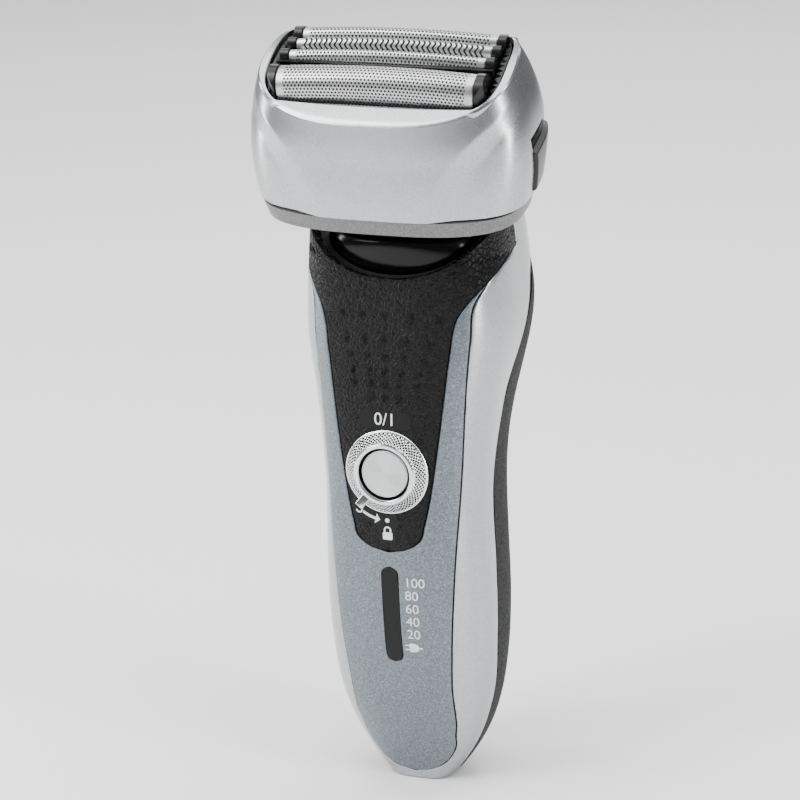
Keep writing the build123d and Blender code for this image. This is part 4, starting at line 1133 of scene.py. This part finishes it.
def makeFoil(name, body, centre, front, back, slot):
    d, h, length = foilProfile(centre, front, back)
    rows = len(d) - 1
    layout = {}

    def place(u, v):
        # The section swept along the foil's slight arch.
        index = np.round(v * rows).astype(int)
        x = (2 * u - 1) * foils["halfLength"]
        angle = x / foils["archRadius"]
        centreHeight = foils["rise"] - foils["archRadius"]
        radius = h[index] - centreHeight
        layout["x"] = x
        layout["along"] = length[index]
        return headPlace(radius * np.sin(angle), d[index], centreHeight + radius * np.cos(angle)), None

    mesh = gridPatch(foils["columns"], rows, place)
    sheetMap = mesh.loops.layers.uv.new("sheet")
    mesh.verts.ensure_lookup_table()
    for face in mesh.faces:
        for loop in face.loops:
            i = loop.vert.index
            loop[sheetMap].uv = (layout["x"][i] * mm, (layout["along"][i] - length[-1] / 2) * mm)
    piece = finish(name + "_sheet", mesh, body, "foil_steel" if slot == "foil_steel" else "blade_steel", 60)
    piece.data.materials.clear()
    piece.data.materials.append(materials[slot])
    wallModifier = piece.modifiers.new("wall", "SOLIDIFY")
    wallModifier.thickness = foils["thickness"] * mm
    wallModifier.offset = -1
    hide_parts(name)


for name, (body, centre, front, back, slot) in foils["rows"].items():
    makeFoil(name, body, centre, front, back, slot)
print("foils ready")

# The lock ring's profile is radius and depth, turned about the button's axis.
switch = {
    "profile": [
        (9.15, -20.6), (9.38, -20.75), (9.40, -21.25), (9.25, -21.42), (9.05, -21.5), (6.95, -22.95),
        (6.80, -23.2), (6.60, -23.3), (6.10, -23.3), (5.90, -23.2), (5.80, -22.9), (5.75, -21.0),
    ],
    "knurlFrom": 6.95,
    "knurlTo": 9.05,
    "profileRows": (0, 1, 2, 3, 4, 24, 25, 26, 28, 29, 30, 32),
    "columns": 672,
    "rows": 64,
    "knurlTurns": 56,
    "knurlLean": 5.2,
    "knurlDepth": 0.35,
    "pointerAngle": 232.0,
    "pointerRadius": 8.0,
    "pointerDepth": -22.5,
    "pointerSize": (3.5, 1.5, 2.0),
    "pointerTilt": -18.0,
}


def knurlPit(turn, radius, y):
    # How deep the knurl cuts: rows of pits between two crossing waves, on the sloping face only.
    low, high = switch["knurlFrom"], switch["knurlTo"]
    face = (radius > low) & (radius < high) & (y < -21.49) & (y > -22.96)
    lean = (radius - low) * switch["knurlLean"]
    around = switch["knurlTurns"] * turn / 2
    pattern = np.abs(np.sin(around + lean) * np.sin(around - lean))
    edge = np.clip(np.minimum(radius - low, high - radius) / 0.12, 0, 1)
    return np.where(face, pattern**1.3 * edge, 0.0)


def makeRing():
    profile = np.array(switch["profile"])
    rows = np.array(switch["profileRows"], float)
    layout = {}

    def place(u, v):
        turn = 2 * math.pi * u
        radius = np.interp(v * rows[-1], rows, profile[:, 0])
        y = np.interp(v * rows[-1], rows, profile[:, 1])
        layout["pitDepthAndShade"] = knurlPit(turn, radius, y)
        y = y + layout["pitDepthAndShade"] * switch["knurlDepth"]
        return np.stack([radius * np.cos(turn), y, switchHeight + radius * np.sin(turn)], -1), None

    mesh = gridPatch(switch["columns"], switch["rows"], place)
    # The pits' depth kept on the vertices as the mask for their painted shade.
    pitShadeLayer = mesh.verts.layers.float.new("pitDepthAndShade")
    for vert, depth in zip(list(mesh.verts), layout["pitDepthAndShade"]):
        vert[pitShadeLayer] = float(np.clip((depth - 0.2) * 2.0, 0, 1))
    bmesh.ops.remove_doubles(mesh, verts=mesh.verts[:], dist=0.002 * mm)
    return mesh


def addPointer(mesh):
    # The small bevelled block on the ring, made at the middle and then moved out to its place.
    block = bmesh.ops.create_cube(mesh, size=1)["verts"]
    bmesh.ops.scale(mesh, verts=block, vec=Vector(switch["pointerSize"]) * mm)
    corners = list({edge for vert in block for edge in vert.link_edges})
    bmesh.ops.bevel(
        mesh, geom=corners, offset=0.22 * mm, segments=3, profile=0.5, affect="EDGES", material=-1
    )
    block = [vert for vert in mesh.verts if vert.co.length < 4 * mm]
    outward = math.radians(switch["pointerAngle"])
    tilt = Matrix.Rotation(math.radians(switch["pointerTilt"]), 3, "Z")
    bmesh.ops.rotate(mesh, verts=block, cent=(0, 0, 0), matrix=tilt)
    bmesh.ops.rotate(mesh, verts=block, cent=(0, 0, 0), matrix=Matrix.Rotation(-outward, 3, "Y"))
    reach = switch["pointerRadius"]
    place = (reach * math.cos(outward), switch["pointerDepth"], switchHeight + reach * math.sin(outward))
    bmesh.ops.translate(mesh, verts=block, vec=Vector(place) * mm)


ringMesh = makeRing()
addPointer(ringMesh)
ringSkin = finish("lockRingSkin", ringMesh, "switch_ring", "ring_metal", 30)
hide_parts("lock_ring")
print("lock ring ready")

# Printed marks, in millimetres across and up the front wall. Each plate is left, right, bottom, top and
# corner radius. Each arc is its centre, two radii and two angles.
marks = {
    "labelPlate": (-5.9, 5.6, 87.3, 91.3, 0.7),
    "turnPlate": (0, switchHeight, 9.0, 12.4, 227, 282),
    "lockPlate": (-2.2, 2.0, 61.4, 67.6, 0.6),
    "plateLift": 0.02,
    "inkLift": 0.07,
    "textLift": 0.06,
    "onOff": (-0.2, 89.3, 3.9),  # across, up, size
    "numbers": [("100", 52.6), ("80", 49.5), ("60", 46.4), ("40", 43.3), ("20", 40.2)],
    "numberX": 3.3,
    "numberSize": 3.1,
    "openArc": (-6.6, 68.6, 0.5, 0.85, 190, 400),
    "turnArc": (0, switchHeight, 10.7, 11.3, 239, 256),
    "dot": (-0.1, 66.7, 0.02, 0.5, 0, 360),
    "lockBody": (-1.2, 1.0, 62.3, 64.0, 0.12),
    "lockLoop": (-0.1, 64.5, 0.5, 0.85, 0, 180),
    "plug": (4.6, 37.0),
}


def onFront(x, z, lift):
    # A point on the front wall, lifted off it.
    x = np.asarray(x, float)
    z = np.asarray(z, float)
    s = shareAtX(z, np.abs(x)) * np.sign(x)
    return wallPoint(z, s) + wallNormal(z, s) * lift


def frontPatch(name, columns, rows, outline, lift=marks["plateLift"]):
    # A thin sheet laid over the front wall inside its outline.
    def place(u, v):
        x, z = outline(u, v)
        return onFront(x, z, lift), None

    return finish(name, gridPatch(columns, rows, place), "handle", "window_clear")


def printWhite(piece):
    piece.data.materials.clear()
    piece.data.materials.append(materials["print_white"])


def inkPatch(name, columns, rows, outline):
    printWhite(frontPatch(name, columns, rows, outline, marks["inkLift"]))


def roundedPlate(x0, x1, z0, z1, radius):
    def outline(u, v):
        z = z0 + (z1 - z0) * v
        pull = rollOff(np.minimum(z - z0, z1 - z), radius)
        return x0 + pull + (x1 - x0 - 2 * pull) * u, z

    return outline


def arcBand(cx, cz, r0, r1, a0, a1):
    def outline(u, v):
        angle = np.radians(a0 + (a1 - a0) * u)
        radius = r0 + (r1 - r0) * v
        return cx + radius * np.cos(angle), cz + radius * np.sin(angle)

    return outline


def frontText(name, words, x, z, size, align="LEFT"):
    # Words as a flat mesh, laid over the front wall.
    curve = bpy.data.curves.new(name, "FONT")
    curve.body = words
    curve.size = size
    curve.align_x = align
    curve.align_y = "CENTER"
    curve.resolution_u = 6
    made = bpy.data.objects.new(name, curve)
    bpy.context.scene.collection.objects.link(made)
    bpy.context.view_layer.update()
    data = bpy.data.meshes.new_from_object(made)
    bpy.data.objects.remove(made)
    mesh = bmesh.new()
    mesh.from_mesh(data)
    bpy.data.meshes.remove(data)
    bmesh.ops.triangulate(mesh, faces=mesh.faces[:])
    flat = np.array([(vert.co.x, vert.co.y) for vert in mesh.verts])
    points = onFront(x + flat[:, 0], z + flat[:, 1], marks["textLift"])
    for vert, point in zip(mesh.verts, points):
        vert.co = Vector(point) * mm
    printWhite(finish(name, mesh, "handle", "window_clear"))


def arrowHead(u, v):
    # The tip of the turning arrow, narrowing along its arc.
    angle = np.radians(255.5 + 5.5 * u)
    radius = 11.0 + (v - 0.5) * 2.3 * (1 - u)
    return radius * np.cos(angle), switchHeight + radius * np.sin(angle)


frontPatch("labelPlate", 30, 14, roundedPlate(*marks["labelPlate"]))
frontPatch("markPlate", 60, 16, arcBand(*marks["turnPlate"]))
frontPatch("lockPlate", 12, 20, roundedPlate(*marks["lockPlate"]), marks["plateLift"] + 0.005)
frontText("onOffMark", "0/1", *marks["onOff"], "CENTER")
for words, z in marks["numbers"]:
    frontText("level_" + words, words, marks["numberX"], z, marks["numberSize"])
inkPatch("openMark", 24, 3, arcBand(*marks["openArc"]))
inkPatch("turnMark", 24, 3, arcBand(*marks["turnArc"]))
inkPatch("turnMarkTip", 6, 6, arrowHead)
inkPatch("dotMark", 24, 4, arcBand(*marks["dot"]))
inkPatch("lockMark", 8, 6, roundedPlate(*marks["lockBody"]))
inkPatch("lockMarkLoop", 24, 3, arcBand(*marks["lockLoop"]))
for word, middle in (("A", -0.775), ("B", 0.575)):
    inkPatch("lockMarkLeg" + word, 2, 3, roundedPlate(middle - 0.175, middle + 0.175, 63.9, 64.55, 0.01))
px, pz = marks["plug"]
inkPatch("plugMark", 12, 8, arcBand(px + 0.2, pz, 0.02, 1.05, -90, 90))
inkPatch("plugMarkBody", 8, 6, roundedPlate(px - 0.9, px + 0.25, pz - 1.05, pz + 1.05, 0.1))
inkPatch("plugMarkPinA", 4, 2, roundedPlate(px - 1.9, px - 0.85, pz + 0.35, pz + 0.65, 0.05))
inkPatch("plugMarkPinB", 4, 2, roundedPlate(px - 1.9, px - 0.85, pz - 0.65, pz - 0.35, 0.05))
inkPatch("plugMarkCord", 6, 2, roundedPlate(px + 1.15, px + 2.1, pz - 0.2, pz + 0.2, 0.05))
print("marks ready")

camera = {
    "azimuth": 21.0,
    "elevation": 17.0,
    "roll": 1.2,
    "distance": 0.6,
    "target": (-0.0021, -0.007, 0.0894),
    "lens": 124.2,
}
middleHeight = 0.09  # metres, where the lights point

# Each panel's azimuth, elevation, distance, width, height and power.
lights = {
    "keyPanel": (-42, 36, 1.0, 0.40, 0.7, 10.0),
    "topPanel": (20, 84, 1.5, 1.8, 1.8, 44.0),
    "rightStrip": (72, 20, 0.75, 0.08, 0.7, 4.0),
    "leftStrip": (-84, 14, 0.75, 0.10, 0.7, 3.0),
    "backFill": (180, 40, 1.4, 1.4, 0.6, 10.0),
}


def direction(azimuth, elevation):
    # Outwards from the object, with azimuth 0 at its front.
    a = math.radians(azimuth)
    e = math.radians(elevation)
    return Vector((math.sin(a) * math.cos(e), -math.cos(a) * math.cos(e), math.sin(e)))


def addCamera():
    data = bpy.data.cameras.new("camera")
    data.lens = camera["lens"]
    data.sensor_width = 36.0
    data.clip_start = 0.01
    data.clip_end = 20.0
    made = bpy.data.objects.new("camera", data)
    bpy.context.scene.collection.objects.link(made)
    outward = direction(camera["azimuth"], camera["elevation"])
    made.location = Vector(camera["target"]) + outward * camera["distance"]
    turn = outward.to_track_quat("Z", "Y")
    roll = Matrix.Rotation(math.radians(-camera["roll"]), 4, "Z")
    made.rotation_euler = (turn.to_matrix().to_4x4() @ roll).to_euler()
    bpy.context.scene.camera = made


def addLight(name, azimuth, elevation, distance, width, height, power):
    data = bpy.data.lights.new(name, "AREA")
    data.shape = "RECTANGLE"
    data.size = width
    data.size_y = height
    data.energy = power
    made = bpy.data.objects.new(name, data)
    bpy.context.scene.collection.objects.link(made)
    outward = direction(azimuth, elevation)
    made.location = Vector((0, 0, middleHeight)) + outward * distance
    made.rotation_euler = outward.to_track_quat("Z", "Y").to_euler()


def addFloor():
    mesh = bmesh.new()
    bmesh.ops.create_grid(mesh, x_segments=1, y_segments=1, size=6.0)
    data = bpy.data.meshes.new("floor")
    mesh.to_mesh(data)
    mesh.free()
    made = bpy.data.objects.new("floor", data)
    bpy.context.scene.collection.objects.link(made)
    material, _, shader = nodeTree("paleFloor")
    shader.inputs["Base Color"].default_value = (0.93, 0.93, 0.935, 1)
    shader.inputs["Roughness"].default_value = 0.55
    data.materials.append(material)
    world = bpy.data.worlds.new("studio")
    world.use_nodes = True
    sky = world.node_tree.nodes["Background"]
    sky.inputs["Color"].default_value = (0.93, 0.94, 0.96, 1)
    sky.inputs["Strength"].default_value = 0.2
    bpy.context.scene.world = world


addCamera()
addFloor()
for name, values in lights.items():
    addLight(name, *values)
print("stage ready")
